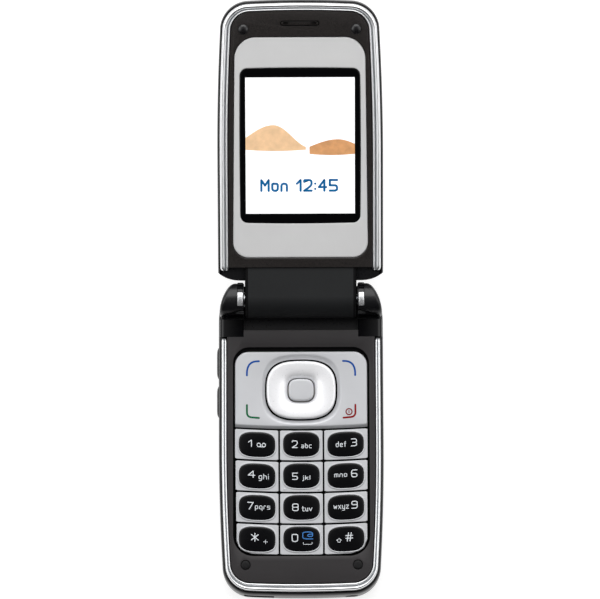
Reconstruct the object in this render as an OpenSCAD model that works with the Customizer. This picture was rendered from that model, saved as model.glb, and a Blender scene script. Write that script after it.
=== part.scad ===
// Open clamshell mobile phone: a base with the keypad and a lid with the display.
// The base lies on its flat back, +Z is up, and +X is to the user's right.
// The lid points away from the user, towards +Y, and leans up at its opening angle.

/* [Body] */
// Width of the base and of the lid at their widest
width = 46.4; // [45:0.1:49]
// Hinge axis to the bottom end of the base
base_len = 83.2; // [82:0.1:90]
// Hinge axis to the top end of the lid
lid_len = 84.2; // [84:0.1:92]
// Back face of the base to its key deck
base_h = 13; // [12.8:0.1:14]
// Radius of the four outer end corners
corner_r = 7.6; // [6:0.1:9]
// How far the sides draw in towards the free ends
side_draw = 1; // [0.4:0.1:1.4]
// Where along the body that drawing in starts
side_start = 40; // [36:1:50]
// How far the end edges bow out at the middle
end_bow = 0.9; // [0:0.1:1.2]
// Height over which the back edges round off
edge_round = 3.2; // [2:0.1:3.6]
// Thickness of the shells' walls
wall = 1.3; // [1.1:0.1:1.5]

/* [Hinge] */
// Height of the hinge axis above the base's back face
hinge_h = 16; // [15.8:0.1:17]
// Angle between the lid and the base as it stands open
open_angle = 165; // [150:1:165]
// Radius of the lid's central barrel
barrel_r = 5.1; // [4.9:0.1:5.2]
// Width of the lid's central barrel
barrel_w = 31.3; // [29:0.1:33]
// Radius of the base's two hinge ears
ear_r = 4.7; // [4.4:0.1:4.8]
// Gap between each ear and the barrel
ear_gap = 0.35; // [0.2:0.05:0.5]
// How far the ears' outer faces curve in
ear_draw = 3.4; // [2:0.1:4]
// Radius of the hinge shaft
shaft_r = 1.5; // [1.2:0.05:1.7]
// Outer radius of the spring cartridge
cartridge_r = 2.95; // [2.6:0.05:3.2]
// Length of the spring cartridge
cartridge_len = 13; // [10:0.5:13.5]
// Outer radius of the hollow hinge bush
bush_r = 2.2; // [2:0.05:2.4]
// Radial play of a running fit
running_fit = 0.04; // [0.02:0.01:0.08]

/* [Keypad] */
// Width of the key field
keypad_w = 37.3; // [36:0.1:38]
// Hinge axis to the top edge of the function plate
plate_top = 14.2; // [13.8:0.1:15]
// Hinge axis to the first row of number keys
rows_top = 36; // [35.6:0.1:37]
// Distance between rows of number keys
row_pitch = 8.85; // [8.5:0.05:8.9]
// Hinge axis to the bottom edge of the last row
keypad_end = 71.4; // [71:0.1:72]
// How far each row of keys bows down at its middle
row_bow = 0.6; // [0:0.1:0.9]
// Gap between neighbouring keys
key_gap = 0.48; // [0.35:0.01:0.6]
// Travel of a key
key_travel = 0.25; // [0.15:0.05:0.25]
// Depth of the key caps below the deck
key_recess = 0.25; // [0.1:0.05:0.4]
// Width of the raised oval on a number key
oval_w = 10.2; // [9:0.1:10.6]
// Height of the raised oval on a number key
oval_h = 6.9; // [6:0.1:7.2]
// How far the ovals stand above the caps
oval_rise = 0.4; // [0.2:0.05:0.45]
// Width of the four-way ring
navi_w = 19.7; // [18:0.1:20.6]
// Height of the four-way ring
navi_h = 16.5; // [15:0.1:17]
// Hinge axis to the middle of the four-way ring
navi_s = 25.1; // [24.8:0.1:25.4]
// Width of the centre key
centre_w = 7.6; // [7:0.1:8.4]
// Height of the centre key
centre_h = 6.4; // [6:0.1:7.4]

/* [Side key] */
// Length of the volume rocker
rocker_len = 20.8; // [18:0.1:21.4]
// Hinge axis to the middle of the rocker
rocker_s = 22.5; // [21.6:0.1:24]
// How far the rocker stands out of the side
rocker_out = 0.7; // [0.4:0.1:0.9]
// Height of the rocker
rocker_h = 3.4; // [2.6:0.1:3.6]

/* [Lid] */
// Thickness of the lid, from its outer face to its rim
lid_t = 10.5; // [10.3:0.1:11.5]
// Gap between the closed lid's rim and the deck
closed_gap = 0.5; // [0.45:0.05:0.7]
// Hinge axis to the bottom edge of the silver face plate
face_start = 12.4; // [12:0.1:13]
// Top end of the lid to the top edge of the silver face plate
face_end = 10.4; // [10:0.1:11]
// Width of the border at each side of the silver face plate
face_w = 4.35; // [4:0.05:4.9]
// Hinge axis to the bottom edge of the display window
window_start = 22; // [21.4:0.1:22.6]
// Top end of the lid to the top edge of the display window
window_end = 18.8; // [18.2:0.1:19.4]
// Width of the display window
window_w = 34.1; // [33:0.1:35]
// Width of the display's active area
active_w = 30.5; // [29:0.1:31]
// Hinge axis to the bottom of the active area
active_start = 24.7; // [24.2:0.1:25.2]
// Top end of the lid to the top of the active area
active_end = 21.4; // [21:0.1:22]
// Width of the outer window on the lid's back
outer_window_w = 27; // [25:0.5:31]
// Hinge axis to the bottom edge of the outer window
outer_window_start = 16; // [15:0.5:17]
// Top end of the lid to the top edge of the outer window
outer_window_end = 22.2; // [18:0.1:24]
// Radius of the camera's lens ring
camera_r = 4; // [3.5:0.1:4.4]
// Hinge axis to the middle of the camera
camera_e = 22.5; // [22:0.1:24]
// Width of the earpiece slot
slot_w = 10.5; // [9:0.1:12]
// Top end of the lid to the earpiece slot
slot_e = 6.4; // [6.1:0.1:6.7]

/* [Trim] */
// Width of the chrome frames
chrome_w = 1.9; // [1.6:0.1:2.1]
// How far the dark shell shows outside the chrome
chrome_inset = 0.5; // [0.3:0.05:0.6]
// How much further the chrome and the deck stay back from the base's end than from its sides
base_end_step = 1.1; // [0.6:0.1:1.3]
// The same at the lid's end
lid_end_step = 0.6; // [0.3:0.1:0.8]
// Side of the body to the round bumpers and pads
bumper_x = 7.5; // [7:0.1:8.2]
// Radius of the lid's bumpers
bumper_r = 1.45; // [1.2:0.05:1.6]
// Bottom end of the base to the pads in its deck
pad_s = 8.7; // [8:0.1:8.9]
// Top end of the lid to its bumpers
bumper_e = 8.1; // [7.7:0.1:8.3]

/* [Inside] */
// Width of the battery
battery_w = 34.6; // [33:0.1:35]
// Length of the battery
battery_l = 45.4; // [43:0.1:45.4]
// Thickness of the battery
battery_t = 3.8; // [3.4:0.1:3.8]
// Thickness of the circuit boards
board_t = 0.8; // [0.6:0.1:0.8]
// How far the battery cover slides off
cover_travel = 4; // [3:0.5:5]
// Clearance between parts that do not move
fit = 0.1; // [0.05:0.01:0.15]

/* [Hidden] */
KEYS = ["key_1", "key_2", "key_3", "key_4", "key_5", "key_6",
        "key_7", "key_8", "key_9", "key_star", "key_0", "key_hash"];
$fn = 96;

// Colours
graphite = "#2b2a2c";
deck_grey = "#3d3c3e";
silver = "#c6c7c8";
chrome = "#d8dadc";
gloss_black = "#0a0a0b";
rubber = "#3a3839";

// Heights of the layers in the base, from its back face up
base_mid_y = (base_len - ear_r) / 2;
cover_t = 1.1;
cover_top = 2.9;
shell_top = base_h - 1.75;
chassis_t = 0.8;
chassis_z = 6.2;
board_z = chassis_z + chassis_t + 2.2;
board_top = board_z + board_t;
dome_t = 0.3;
mat_z = board_top + dome_t + fit;
mat_t = 0.4;
cap_z = mat_z + mat_t + key_travel + 0.05;
cap_top = base_h - key_recess;
trough_z = hinge_h - barrel_r - 0.5;
deck_start = 8.1;
flank_start = ear_r + 0.4;
chrome_start = 10.2;
ear_x0 = barrel_w / 2 + ear_gap;
ear_x1 = width / 2;
deck_inset = chrome_inset + chrome_w;
well_gap = 0.5;

// Places of what is set in from the sides and the free ends
pad_x = width / 2 - bumper_x;
pad_y = base_len - pad_s;
bumper_y = lid_len - bumper_e;
slot_y = lid_len - slot_e;
plate_w = width - 2 * face_w;
plate_end = lid_len - face_end;
glass_end = lid_len - window_end;
image_end = lid_len - active_end;
outer_end = lid_len - outer_window_end;

// Battery compartment, from its bottom end up to the partition
contact_room = 2.9;
pocket_s1 = pad_y - 2.1;
pocket_s0 = pocket_s1 - 0.5 - battery_l - contact_room;
partition_s = pocket_s0 - 2.6;
side_steps = 6;
corner_steps = 10;

// Levels in the lid, from the hinge axis towards the user
rim_n = hinge_h - base_h - closed_gap;
back_n = rim_n - lid_t;
bezel_t = 1.6;
bezel_n = rim_n - bezel_t;
face_t = 0.7;
face_n = rim_n - 0.3 - face_t;
lid_start = flank_start;
block_end = 9.6;
lid_board_n = back_n + 4.4;
display_n = lid_board_n + board_t + 0.2;

// Half the width at a distance s from the hinge axis
function half_x(s, len, inset) = width / 2 - inset
    - ear_draw * pow(max(0, flank_start - s) / (flank_start + ear_r), 2)
    - side_draw * pow(max(0, s - side_start) / (len - corner_r - side_start), 2);

// Pulls a point back from the end, so that the end edge bows
function bowed(x, s, len) =
    [x, s - end_bow * pow(2 * x / width, 2) * pow(max(0, s) / len, 4)];

// Distances from the hinge axis at which the side's outline bends
function stations(from, corner_s) =
    let (straight = max(from, flank_start))
    concat(from < flank_start ? [for (i = [0 : 3]) from + (flank_start - from) * i / 4] : [],
           [straight],
           [for (i = [0 : side_steps - 1]) side_start + (corner_s - side_start) * i / side_steps]);

// Points up the right side of the body and round its end corner
function right_side(len, from, inset) =
    let (corner_s = len - corner_r, corner_x = half_x(corner_s, len, 0) - corner_r,
         r = corner_r - inset)
    concat(
        [for (s = stations(from, corner_s)) bowed(half_x(s, len, inset), s, len)],
        [for (i = [0 : corner_steps])
            let (a = 90 * i / corner_steps)
            bowed(corner_x + r * cos(a), corner_s + r * sin(a), len)]);

function plan_points(len, from, inset) =
    let (right = right_side(len, from, inset), n = len(right))
    concat(right, [bowed(0, len - inset, len)],
           [for (i = [n - 1 : -1 : 0]) [-right[i].x, right[i].y]]);

// Outline of a half of the phone, from a distance `from` to its free end
module plan(len, from, inset) {
    polygon(plan_points(len, from, inset));
}

module slab(z0, z1) {
    translate([0, 0, z0]) linear_extrude(z1 - z0) children();
}

// A body whose outline draws in near its outer face, as levels of one outline
function edge_inset(depth) = depth >= edge_round ? 0
    : edge_round * (1 - sqrt(1 - pow(1 - depth / edge_round, 2)));

module rounded_body(len, from, depths, sign, origin_z) {
    rings = [for (d = depths) let (inset = edge_inset(d))
        [for (p = plan_points(len, from + inset, inset)) [p.x, p.y, origin_z + sign * d]]];
    n = len(rings[0]);
    last = len(rings) - 1;
    points = [for (ring = rings) each ring];
    walls = [for (k = [0 : last - 1], i = [0 : n - 1]) let (j = (i + 1) % n)
        each [[k * n + i, (k + 1) * n + i, k * n + j],
              [k * n + j, (k + 1) * n + i, (k + 1) * n + j]]];
    caps = [[for (i = [0 : n - 1]) i], [for (i = [n - 1 : -1 : 0]) last * n + i]];
    faces = concat(walls, caps);
    // mirrored levels turn every face round
    polyhedron(points, sign > 0 ? faces : [for (f = faces) [for (i = [len(f) - 1 : -1 : 0]) f[i]]]);
}

// Rectangle with round corners, from arcs and straight sides
module pill(w, h, r) {
    square([w - 2 * r, h], center = true);
    square([w, h - 2 * r], center = true);
    for (x = [-1, 1], y = [-1, 1])
        translate([x * (w / 2 - r), y * (h / 2 - r)]) circle(r);
}

// Box between two corners
module block(a, b) {
    translate(a) cube(b - a);
}

module both_sides(x) {
    for (side = [-1, 1]) translate([side * x, 0, 0]) children();
}

// Base pieces are drawn with y as the distance from the hinge axis to the user
module in_base() {
    translate([0, base_mid_y, 0]) mirror([0, 1, 0]) children();
}

// Lid pieces are drawn with y along the lid and z towards the user
module in_lid() {
    translate([0, base_mid_y, hinge_h]) rotate([180 - open_angle, 0, 0]) children();
}

// Base shells ----------------------------------------------------------------

top_screw = [18.5, 10.2];
bottom_screw = [pad_x, pad_y];
screw_r = 0.8;
screw_head_r = 1.3;
screw_head_z = chassis_z - 0.8;
hinge_zone_z = cover_t + 0.1;
zone_in = 3.4;
motor = [-15.9, partition_s - 5.6, 3.6];
speaker = [10.8, 8.8];
speaker_r = 5;
latch_s = partition_s - 3.6;
jack = [14, 7.2];
jack_r = 1.75;
connector_x = -12;
connector_w = 8.2;
rocker_z = 7.6;
rocker_in = 1.9;
rocker_play = 0.35;

module every_screw() {
    both_sides(top_screw.x) translate([0, top_screw.y, 0]) children();
    both_sides(bottom_screw.x) translate([0, bottom_screw.y, 0]) children();
}

module rear_shell_body() {
    rounded_body(base_len, -ear_r, [cover_top + 0.1, edge_round, shell_top], 1, 0);
    intersection() {
        rounded_body(base_len, -ear_r, [0, 0.25, 0.7, 1.3, 2.1, cover_top + 0.2], 1, 0);
        block([-width, -ear_r - 1, -1], [width, partition_s, cover_top + 1]);
    }
}

module rear_shell() {
    color(graphite) in_base() difference() {
        rear_shell_body();
        // room under the circuit board and the key deck
        slab(chassis_z + chassis_t, shell_top + 1)
            intersection() {
                plan(base_len, -ear_r, wall);
                translate([-width / 2, deck_start + 0.4]) square([width, base_len]);
            }
        block([-ear_x0, -zone_in, chassis_z + chassis_t], [ear_x0, deck_start + 1, trough_z - 1]);
        // trough for the lid's barrel
        block([-ear_x0, -ear_r - 1, trough_z], [ear_x0, deck_start, base_h]);
        // room for the antenna, loudspeaker and vibration motor
        difference() {
            slab(hinge_zone_z, chassis_z) intersection() {
                plan(base_len, -ear_r, edge_round);
                translate([-width / 2, -zone_in]) square([width, partition_s - 1.2 + zone_in]);
            }
            both_sides(top_screw.x) translate([0, top_screw.y, 0])
                cylinder(8, screw_head_r + 0.9, screw_head_r + 0.9);
        }
        // battery compartment
        block([-battery_w / 2 - 0.6, pocket_s0, 0], [battery_w / 2 + 0.6, pocket_s1, chassis_z]);
        // screws from the back
        every_screw() {
            translate([0, 0, -1]) cylinder(screw_head_z + 1 + 0.8, screw_head_r + fit, screw_head_r + fit);
            cylinder(shell_top, screw_r + fit, screw_r + fit);
        }
        // sockets in the bottom end
        translate([jack.x, base_len - 6.3, jack.y]) rotate([-90, 0, 0])
            cylinder(8, jack_r + fit, jack_r + fit);
        block([connector_x - connector_w / 2 - fit, base_len - 6.5, board_z - 3.1 - fit],
              [connector_x + connector_w / 2 + fit, base_len + 1, board_z + fit]);
        // slot for the volume rocker
        block([-width / 2 - 1, rocker_s - rocker_len / 2 - rocker_play, rocker_z - rocker_h / 2 - 0.2],
              [-width / 2 + rocker_in + 0.3, rocker_s + rocker_len / 2 + rocker_play,
               rocker_z + rocker_h / 2 + 0.2]);
        // slots for the battery cover's hooks
        for (s = hook_s) both_sides(hook_x)
            block([-hook_t / 2 - 0.2, s - 0.3, 0],
                  [hook_t / 2 + 0.2, s + hook_len + cover_travel + 0.3, hook_top + 0.2]);
        // latch window and the opening for the cover's tongue
        block([-latch_w / 2 - 0.2, latch_s - latch_l / 2 - 0.2, -1],
              [latch_w / 2 + 0.2, latch_s + latch_l / 2 + 0.2, hinge_zone_z + 0.1]);
        block([-tongue_w / 2 - 0.3, partition_s - 2, hinge_zone_z],
              [tongue_w / 2 + 0.3, partition_s + 1, hinge_zone_z + 1.5]);
        // sound slots of the loudspeaker
        for (i = [-2 : 2])
            translate([speaker.x + i * 1.6, speaker.y, -1]) linear_extrude(4) pill(0.7, 6 - abs(i), 0.34);
    }
}

hook_s = [34, 58];
hook_x = 20.2;
hook_t = 0.8;
hook_len = 3;
hook_top = 4.2;
tongue_w = 12;
latch_w = 6.4;
latch_l = 3.8;

module battery_cover() {
    color(graphite) in_base() {
        difference() {
            intersection() {
                rounded_body(base_len, -ear_r, [0, 0.25, 0.7, 1.3, 2.1, cover_top], 1, 0);
                block([-width, partition_s + 0.15, -1], [width, base_len + 1, cover_top + 1]);
            }
            slab(cover_t, cover_top + 1) intersection() {
                plan(base_len, -ear_r, edge_round);
                translate([-width / 2, 0]) square([width, base_len]);
            }
        }
        for (s = hook_s) both_sides(hook_x)
            block([-hook_t / 2, s, cover_t], [hook_t / 2, s + hook_len, hook_top]);
        block([-tongue_w / 2, partition_s - 0.7, cover_t - 0.3 + 0.55],
              [tongue_w / 2, partition_s + 0.15, cover_t + 1.2]);
        block([-tongue_w / 2, partition_s + 0.15, cover_t - 0.1],
              [tongue_w / 2, pocket_s0 + contact_room - cover_travel - 0.3, cover_t + 1.2]);
    }
}

module cover_latch() {
    color(graphite) in_base() translate([0, latch_s, 0]) {
        block([-latch_w / 2, -latch_l / 2, 0.25], [latch_w / 2, latch_l / 2, hinge_zone_z + 0.15]);
        block([-latch_w / 2 - 1, -latch_l / 2 - 0.5, hinge_zone_z + 0.15],
              [latch_w / 2 + 1, latch_l / 2 + 0.5, hinge_zone_z + 0.9]);
    }
}

// Deck, with the key well and the flanks beside the barrel
module front_cover() {
    color(deck_grey) in_base() difference() {
        union() {
            slab(shell_top + 0.05, base_h) intersection() {
                plan(base_len - base_end_step, -ear_r, deck_inset);
                translate([-width / 2, deck_start]) square([width, base_len]);
            }
            slab(shell_top + 0.05, shell_top + 0.5) intersection() {
                plan(base_len, -ear_r, chrome_inset);
                translate([-width / 2, deck_start]) square([width, base_len]);
            }
            slab(shell_top + 0.05, base_h - 0.2) intersection() {
                plan(base_len, -ear_r, 0.25);
                for (side = [0, 1]) mirror([side, 0])
                    translate([ear_x0, flank_start]) square([ear_x1, chrome_start - 0.1 - flank_start]);
            }
            every_screw() slab(board_top + 0.1, shell_top + 0.2) circle(screw_r + 0.9);
        }
        // key well
        slab(shell_top - 3, base_h + 1) translate([0, (plate_top + keypad_end) / 2])
            pill(keypad_w + 2 * well_gap, keypad_end - plate_top + 2 * well_gap, 4.6);
        every_screw() slab(0, base_h - 1.1) circle(screw_r + 0.02);
        both_sides(bottom_screw.x) translate([0, bottom_screw.y, base_h - 0.75])
            cylinder(2, bumper_r + 0.05, bumper_r + 0.05);
    }
}

module chrome_ring(len, from) {
    difference() {
        intersection() {
            plan(len, -ear_r, chrome_inset);
            translate([-width / 2, from]) square([width, len]);
        }
        plan(len, -ear_r - 1, deck_inset - fit / 2);
    }
}

module base_chrome_frame() {
    color(chrome) in_base() difference() {
        slab(shell_top + 0.55, base_h + 0.15) chrome_ring(base_len - base_end_step, chrome_start);
        // groove that parts the two bright beads
        slab(base_h - 0.25, base_h + 1) difference() {
            plan(base_len - base_end_step, -ear_r - 1, chrome_inset + chrome_w * 0.42);
            plan(base_len - base_end_step, -ear_r - 2, chrome_inset + chrome_w * 0.6);
        }
    }
}

module ear_profile() {
    circle(ear_r);
    translate([-ear_r, shell_top + 0.05 - hinge_h]) square([2 * ear_r, hinge_h - shell_top - 0.05]);
}

trim_x = [0.2, 1.8];
trim_s = [-1.6, 2.1];
trim_depth = 1;

module trim_box(play) {
    block([ear_x0 + trim_x[0] - play, trim_s[0] - play, hinge_h + ear_r - trim_depth - play],
          [ear_x0 + trim_x[1] + play, trim_s[1] + play, hinge_h + ear_r + 1]);
}

ear_hole_x = 4.2;

module ear(bore_r) {
    difference() {
        intersection() {
            translate([ear_x0, 0, hinge_h]) rotate([90, 0, 90]) linear_extrude(ear_x1) ear_profile();
            slab(0, hinge_h + 2 * ear_r) plan(base_len, -ear_r - 1, 0.25);
        }
        trim_box(0.03);
        translate([ear_x0 - 1, 0, hinge_h]) rotate([0, 90, 0]) cylinder(ear_hole_x + 1, bore_r, bore_r);
    }
}

module hinge_ear_right() {
    color(graphite) in_base() ear(shaft_r + 0.01);
}

module hinge_ear_left() {
    color(graphite) in_base() mirror([1, 0, 0]) ear(bush_r + 0.01);
}

module ear_trims() {
    color(chrome) in_base() for (side = [0, 1]) mirror([side, 0, 0]) intersection() {
        trim_box(0);
        translate([0, 0, hinge_h]) rotate([0, 90, 0]) cylinder(ear_x1, ear_r, ear_r);
    }
}

module deck_pads() {
    color(rubber) in_base() both_sides(bottom_screw.x)
        translate([0, bottom_screw.y, base_h - 0.75]) cylinder(0.7, bumper_r - 0.15, bumper_r - 0.15);
}

// Inside the base --------------------------------------------------------------

module board_plan(play) {
    difference() {
        intersection() {
            plan(base_len, -ear_r, wall + 0.4 + play);
            translate([-width / 2, top_screw.y + 2.2]) square([width, base_len - 15.4]);
        }
        both_sides(bottom_screw.x) translate([0, bottom_screw.y]) circle(screw_r + 1.2);
        // the rocker's switches sit beside the board
        translate([-width / 2, rocker_s - rocker_len / 2 - 1]) square([rocker_in + 1, rocker_len + 2]);
    }
}

module main_board() {
    color("#1d6b3a") in_base() {
        slab(board_z, board_top) board_plan(0);
        // two side switches behind the rocker
        for (s = [-1, 1])
            block([-width / 2 + rocker_in + 0.6, rocker_s + s * 7 - 1.5, board_z - 2.15],
                  [-width / 2 + rocker_in + 1.8, rocker_s + s * 7 + 1.5, board_z + 0.01]);
    }
}

module dome_sheet() {
    color("#d9c9a0") in_base() {
        slab(board_top, board_top + 0.1) translate([0, (plate_top + keypad_end) / 2])
            pill(keypad_w, keypad_end - plate_top, 3);
        for (row = [0 : 3], col = [0 : 2])
            translate([key_x(col), key_s(row), board_top + 0.1]) cylinder(dome_t - 0.1, 2.2, 1.2);
        translate([0, navi_s, board_top + 0.1]) cylinder(dome_t - 0.1, 2.2, 1.2);
        for (x = [-1, 1], y = [-1, 1])
            translate([x * 15, navi_s + y * 6.5, board_top + 0.1]) cylinder(dome_t - 0.1, 2, 1.2);
    }
}

module key_mat() {
    color("#26262a") in_base() difference() {
        slab(mat_z, mat_z + mat_t) translate([0, (plate_top + keypad_end) / 2])
            pill(keypad_w + 0.4, keypad_end - plate_top + 0.4, 4);
        slab(0, base_h) translate([0, navi_s]) pill(centre_w, centre_h, 2.6);
    }
}

module shield_cans() {
    color(chrome) in_base() for (s = [[31, 50], [53, base_len - 12.2]]) difference() {
        block([-15, s[0], chassis_z + chassis_t + 0.2], [15, s[1], board_z - 0.02]);
        block([-14.8, s[0] + 0.2, chassis_z + chassis_t + 0.4], [14.8, s[1] - 0.2, board_z]);
    }
}

module sim_reader() {
    color(silver) in_base() difference() {
        block([-7.5, pocket_s0 + 8.4, chassis_z - 0.95], [7.5, pocket_s0 + 26.4, chassis_z - 0.05]);
        block([-6.3, pocket_s0 + 7.4, chassis_z - 0.8], [6.3, pocket_s0 + 25.2, chassis_z - 0.3]);
    }
}

module battery() {
    color("#d9d9d6") in_base() slab(hinge_zone_z + 0.1, hinge_zone_z + 0.1 + battery_t)
        translate([0, pocket_s1 - 0.5 - battery_l / 2]) pill(battery_w, battery_l, 1.2);
}

module battery_contacts() {
    color("#c9a54a") in_base() {
        block([-5, pocket_s0 + 0.1, 2.6], [5, pocket_s0 + 1.9, chassis_z - 0.03]);
        for (x = [-3, 0, 3])
            block([x - 0.5, pocket_s0 + 1.8, 2.9],
                  [x + 0.5, pocket_s0 + contact_room - 0.05, 3.9]);
    }
}

module charger_jack() {
    color(silver) in_base() translate([jack.x, base_len - 6.2, jack.y]) rotate([-90, 0, 0]) difference() {
        cylinder(5, jack_r, jack_r);
        translate([0, 0, 1]) cylinder(5, 1.05, 1.05);
    }
}

module system_connector() {
    color(chrome) in_base() difference() {
        block([connector_x - connector_w / 2, base_len - 6.4, board_z - 3.1],
              [connector_x + connector_w / 2, base_len - 1.2, board_z - 0.05]);
        block([connector_x - connector_w / 2 + 0.3, base_len - 5.8, board_z - 2.8],
              [connector_x + connector_w / 2 - 0.3, base_len, board_z - 0.35]);
        block([connector_x - 3, base_len - 6.4, board_z - 1.9],
              [connector_x + 3, base_len - 5, board_z - 1.3]);
    }
}

module microphone() {
    color(chrome) in_base() translate([0, base_len - 5.6, board_top + 0.05])
        cylinder(shell_top - board_top - 0.1, 2, 2);
}

module loudspeaker() {
    color("#55565a") in_base() translate([speaker.x, speaker.y, hinge_zone_z + 0.05])
        rotate_extrude() polygon([[0, 0.6], [3.6, 0.2], [4.4, 0], [speaker_r, 0], [speaker_r, 2.4],
                                  [3.2, 2.4], [3.2, 3.2], [0, 3.2]]);
}

module vibration_motor() {
    color(silver) in_base() translate(motor) rotate([0, 90, 0]) {
        cylinder(8, 2, 2);
        cylinder(11.2, 0.4, 0.4);
    }
}

module vibration_weight() {
    color("#8b8e92") in_base() translate(motor) rotate([0, 90, 0]) difference() {
        translate([0, 0, 8.3]) linear_extrude(2.6) {
            circle(0.9);
            intersection() {
                circle(1.9);
                translate([0, -2]) square([2, 4]);
            }
        }
        translate([0, 0, 8]) cylinder(4, 0.4 + running_fit, 0.4 + running_fit);
    }
}

module antenna() {
    color("#c9a54a") in_base() {
        block([-14, -zone_in + 0.1, hinge_zone_z + 0.1], [14, 3, hinge_zone_z + 0.4]);
        block([-14, -zone_in + 0.1, hinge_zone_z + 0.2], [14, -zone_in + 0.4, chassis_z - 0.2]);
    }
}

module base_screws() {
    color("#7c7f84") in_base() every_screw() {
        difference() {
            translate([0, 0, screw_head_z]) cylinder(0.8, screw_head_r, screw_head_r);
            translate([0, 0, screw_head_z - 0.1]) cylinder(0.5, 0.5, 0.5, $fn = 6);
        }
        translate([0, 0, screw_head_z + 0.7]) cylinder(base_h - 1.4 - screw_head_z - 0.7, screw_r, screw_r);
    }
}

// Keys ---------------------------------------------------------------------------

function key_x(col) = (col - 1) * keypad_w / 3;
function key_s(row) = rows_top + row * row_pitch + oval_h / 2 + 1.05;
function row_edge(x, row) = row == 4 ? keypad_end + key_gap / 2
    : rows_top - key_gap / 2 + row * row_pitch + row_bow * (1 - pow(2 * x / keypad_w, 2));

// Outline of one cap, between two bowed row edges
module cap_plan(row, col) {
    half = keypad_w / 6 - key_gap / 2;
    xs = [for (i = [-3 : 3]) key_x(col) + half * i / 3 + (1 - col) * -key_gap / 6];
    intersection() {
        polygon(concat([for (x = xs) [x, row_edge(x, row) + key_gap / 2]],
                       [for (i = [6 : -1 : 0]) [xs[i], row_edge(xs[i], row + 1) - key_gap / 2]]));
        translate([0, keypad_end - 30]) pill(keypad_w, 60, row == 3 ? 5.3 : 0.5);
    }
}

module number_key(index) {
    row = floor(index / 3);
    col = index % 3;
    color(silver) in_base() {
        slab(cap_z, cap_top) cap_plan(row, col);
        slab(cap_top, cap_top + oval_rise) translate([key_x(col), key_s(row)]) pill(oval_w, oval_h, 3);
    }
}

// One silver plate over the two soft keys, the call key and the end key
module plate_plan() {
    bottom = [for (i = [-8 : 8]) let (x = keypad_w / 2 * i / 8) [x, row_edge(x, 0) - key_gap / 2 - 0.05]];
    intersection() {
        polygon(concat([[keypad_w / 2, plate_top], [-keypad_w / 2, plate_top]], bottom));
        translate([0, plate_top + 30]) pill(keypad_w, 60, 3.9);
    }
}

plate_top_z = base_h - 0.15;
plate_z = cap_z + 0.15;
navi_play = 0.45;

module function_plate() {
    color(silver) in_base() difference() {
        slab(plate_z, plate_top_z) plate_plan();
        slab(plate_z - 1, base_h) translate([0, navi_s])
            pill(navi_w + 2 * navi_play, navi_h + 2 * navi_play, 7.6);
        // shallow dish round the ring
        slab(plate_top_z - 0.35, base_h) translate([0, navi_s]) pill(navi_w + 2.8, navi_h + 2.7, 8.6);
    }
}

actuator_t = 0.3;
rock_gap = 0.18;

module navi_actuator() {
    color("#55565a") in_base() difference() {
        slab(cap_z, cap_z + actuator_t) translate([0, navi_s]) pill(centre_w + 3.2, navi_h - 1, 3.6);
        slab(cap_z - 1, cap_z + 1) translate([0, navi_s]) pill(centre_w + 1.2, centre_h + 1.2, 3.2);
    }
}

// The ring rocks on the narrow frame under it, and dishes towards the centre key
module navi_ring() {
    color(silver) in_base() difference() {
        slab(cap_z + actuator_t + rock_gap, base_h + 0.3) translate([0, navi_s]) pill(navi_w, navi_h, 7.4);
        slab(cap_z, base_h + 1) translate([0, navi_s]) pill(centre_w + 0.6, centre_h + 0.6, 2.9);
        slab(base_h - 0.1, base_h + 1) translate([0, navi_s]) pill(centre_w + 6, centre_h + 5, 4.6);
    }
}

module centre_key() {
    color(silver) in_base() slab(cap_z, base_h + 0.1) translate([0, navi_s]) pill(centre_w, centre_h, 2.6);
}

// A bar with two low bumps for a fingertip, which rocks about its middle
module volume_rocker() {
    inner = -width / 2 + rocker_in;
    bump = rocker_out + 1.2;
    color(graphite) in_base() translate([0, rocker_s, rocker_z - rocker_h / 2])
        linear_extrude(rocker_h) {
            translate([-width / 2 + 0.1, -rocker_len / 2]) square([rocker_in - 0.1, rocker_len]);
            for (s = [-1, 1])
                translate([-width / 2 - rocker_out + bump / 2, s * rocker_len / 4])
                    pill(bump, rocker_len / 2 - 0.6, 0.45);
        }
}

// Hinge ------------------------------------------------------------------------

flex_r = 1.2;
flex_x0 = -7;
flex_x1 = 1;

module along_x(x0, x1, r) {
    translate([x0, 0, 0]) rotate([0, 90, 0]) cylinder(x1 - x0, r, r);
}

module hinge_shaft() {
    color(chrome) in_base() translate([0, 0, hinge_h])
        along_x(barrel_w / 2 - cartridge_len + 1, ear_x0 + ear_hole_x - 0.1, shaft_r);
}

module hinge_bush() {
    color(silver) in_base() translate([0, 0, hinge_h]) difference() {
        along_x(-ear_x0 - ear_hole_x + 0.1, -barrel_w / 2 + 6, bush_r);
        along_x(-ear_x0 - ear_hole_x, -barrel_w / 2 + 7, bush_r - 0.5);
    }
}

module hinge_cartridge() {
    color(silver) in_lid() difference() {
        along_x(barrel_w / 2 - cartridge_len, barrel_w / 2 - 0.05, cartridge_r);
        along_x(barrel_w / 2 - cartridge_len + 0.8, barrel_w / 2 + 1, shaft_r + running_fit);
    }
}

// The rolled flat cable that runs through the bush into the lid
module hinge_flex() {
    color("#c07a28") in_lid() {
        difference() {
            along_x(-ear_x0 - ear_hole_x + 0.5, flex_x1, flex_r);
            along_x(-ear_x0 - ear_hole_x, flex_x1 + 1, flex_r - 0.2);
        }
        translate([flex_x0, 0, 0]) rotate([90, 0, 90]) linear_extrude(flex_x1 - flex_x0)
            polygon([[flex_r - 0.15, -0.1], [10.5, -0.1], [13.5, lid_board_n + board_t + 0.05],
                     [18.5, lid_board_n + board_t + 0.05], [18.5, lid_board_n + board_t + 0.25],
                     [13.6, lid_board_n + board_t + 0.25], [10.6, 0.1], [flex_r - 0.15, 0.1]]);
    }
}

tongue_n = lid_board_n - 0.6;
block_face_n = rim_n - 0.5;

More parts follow.
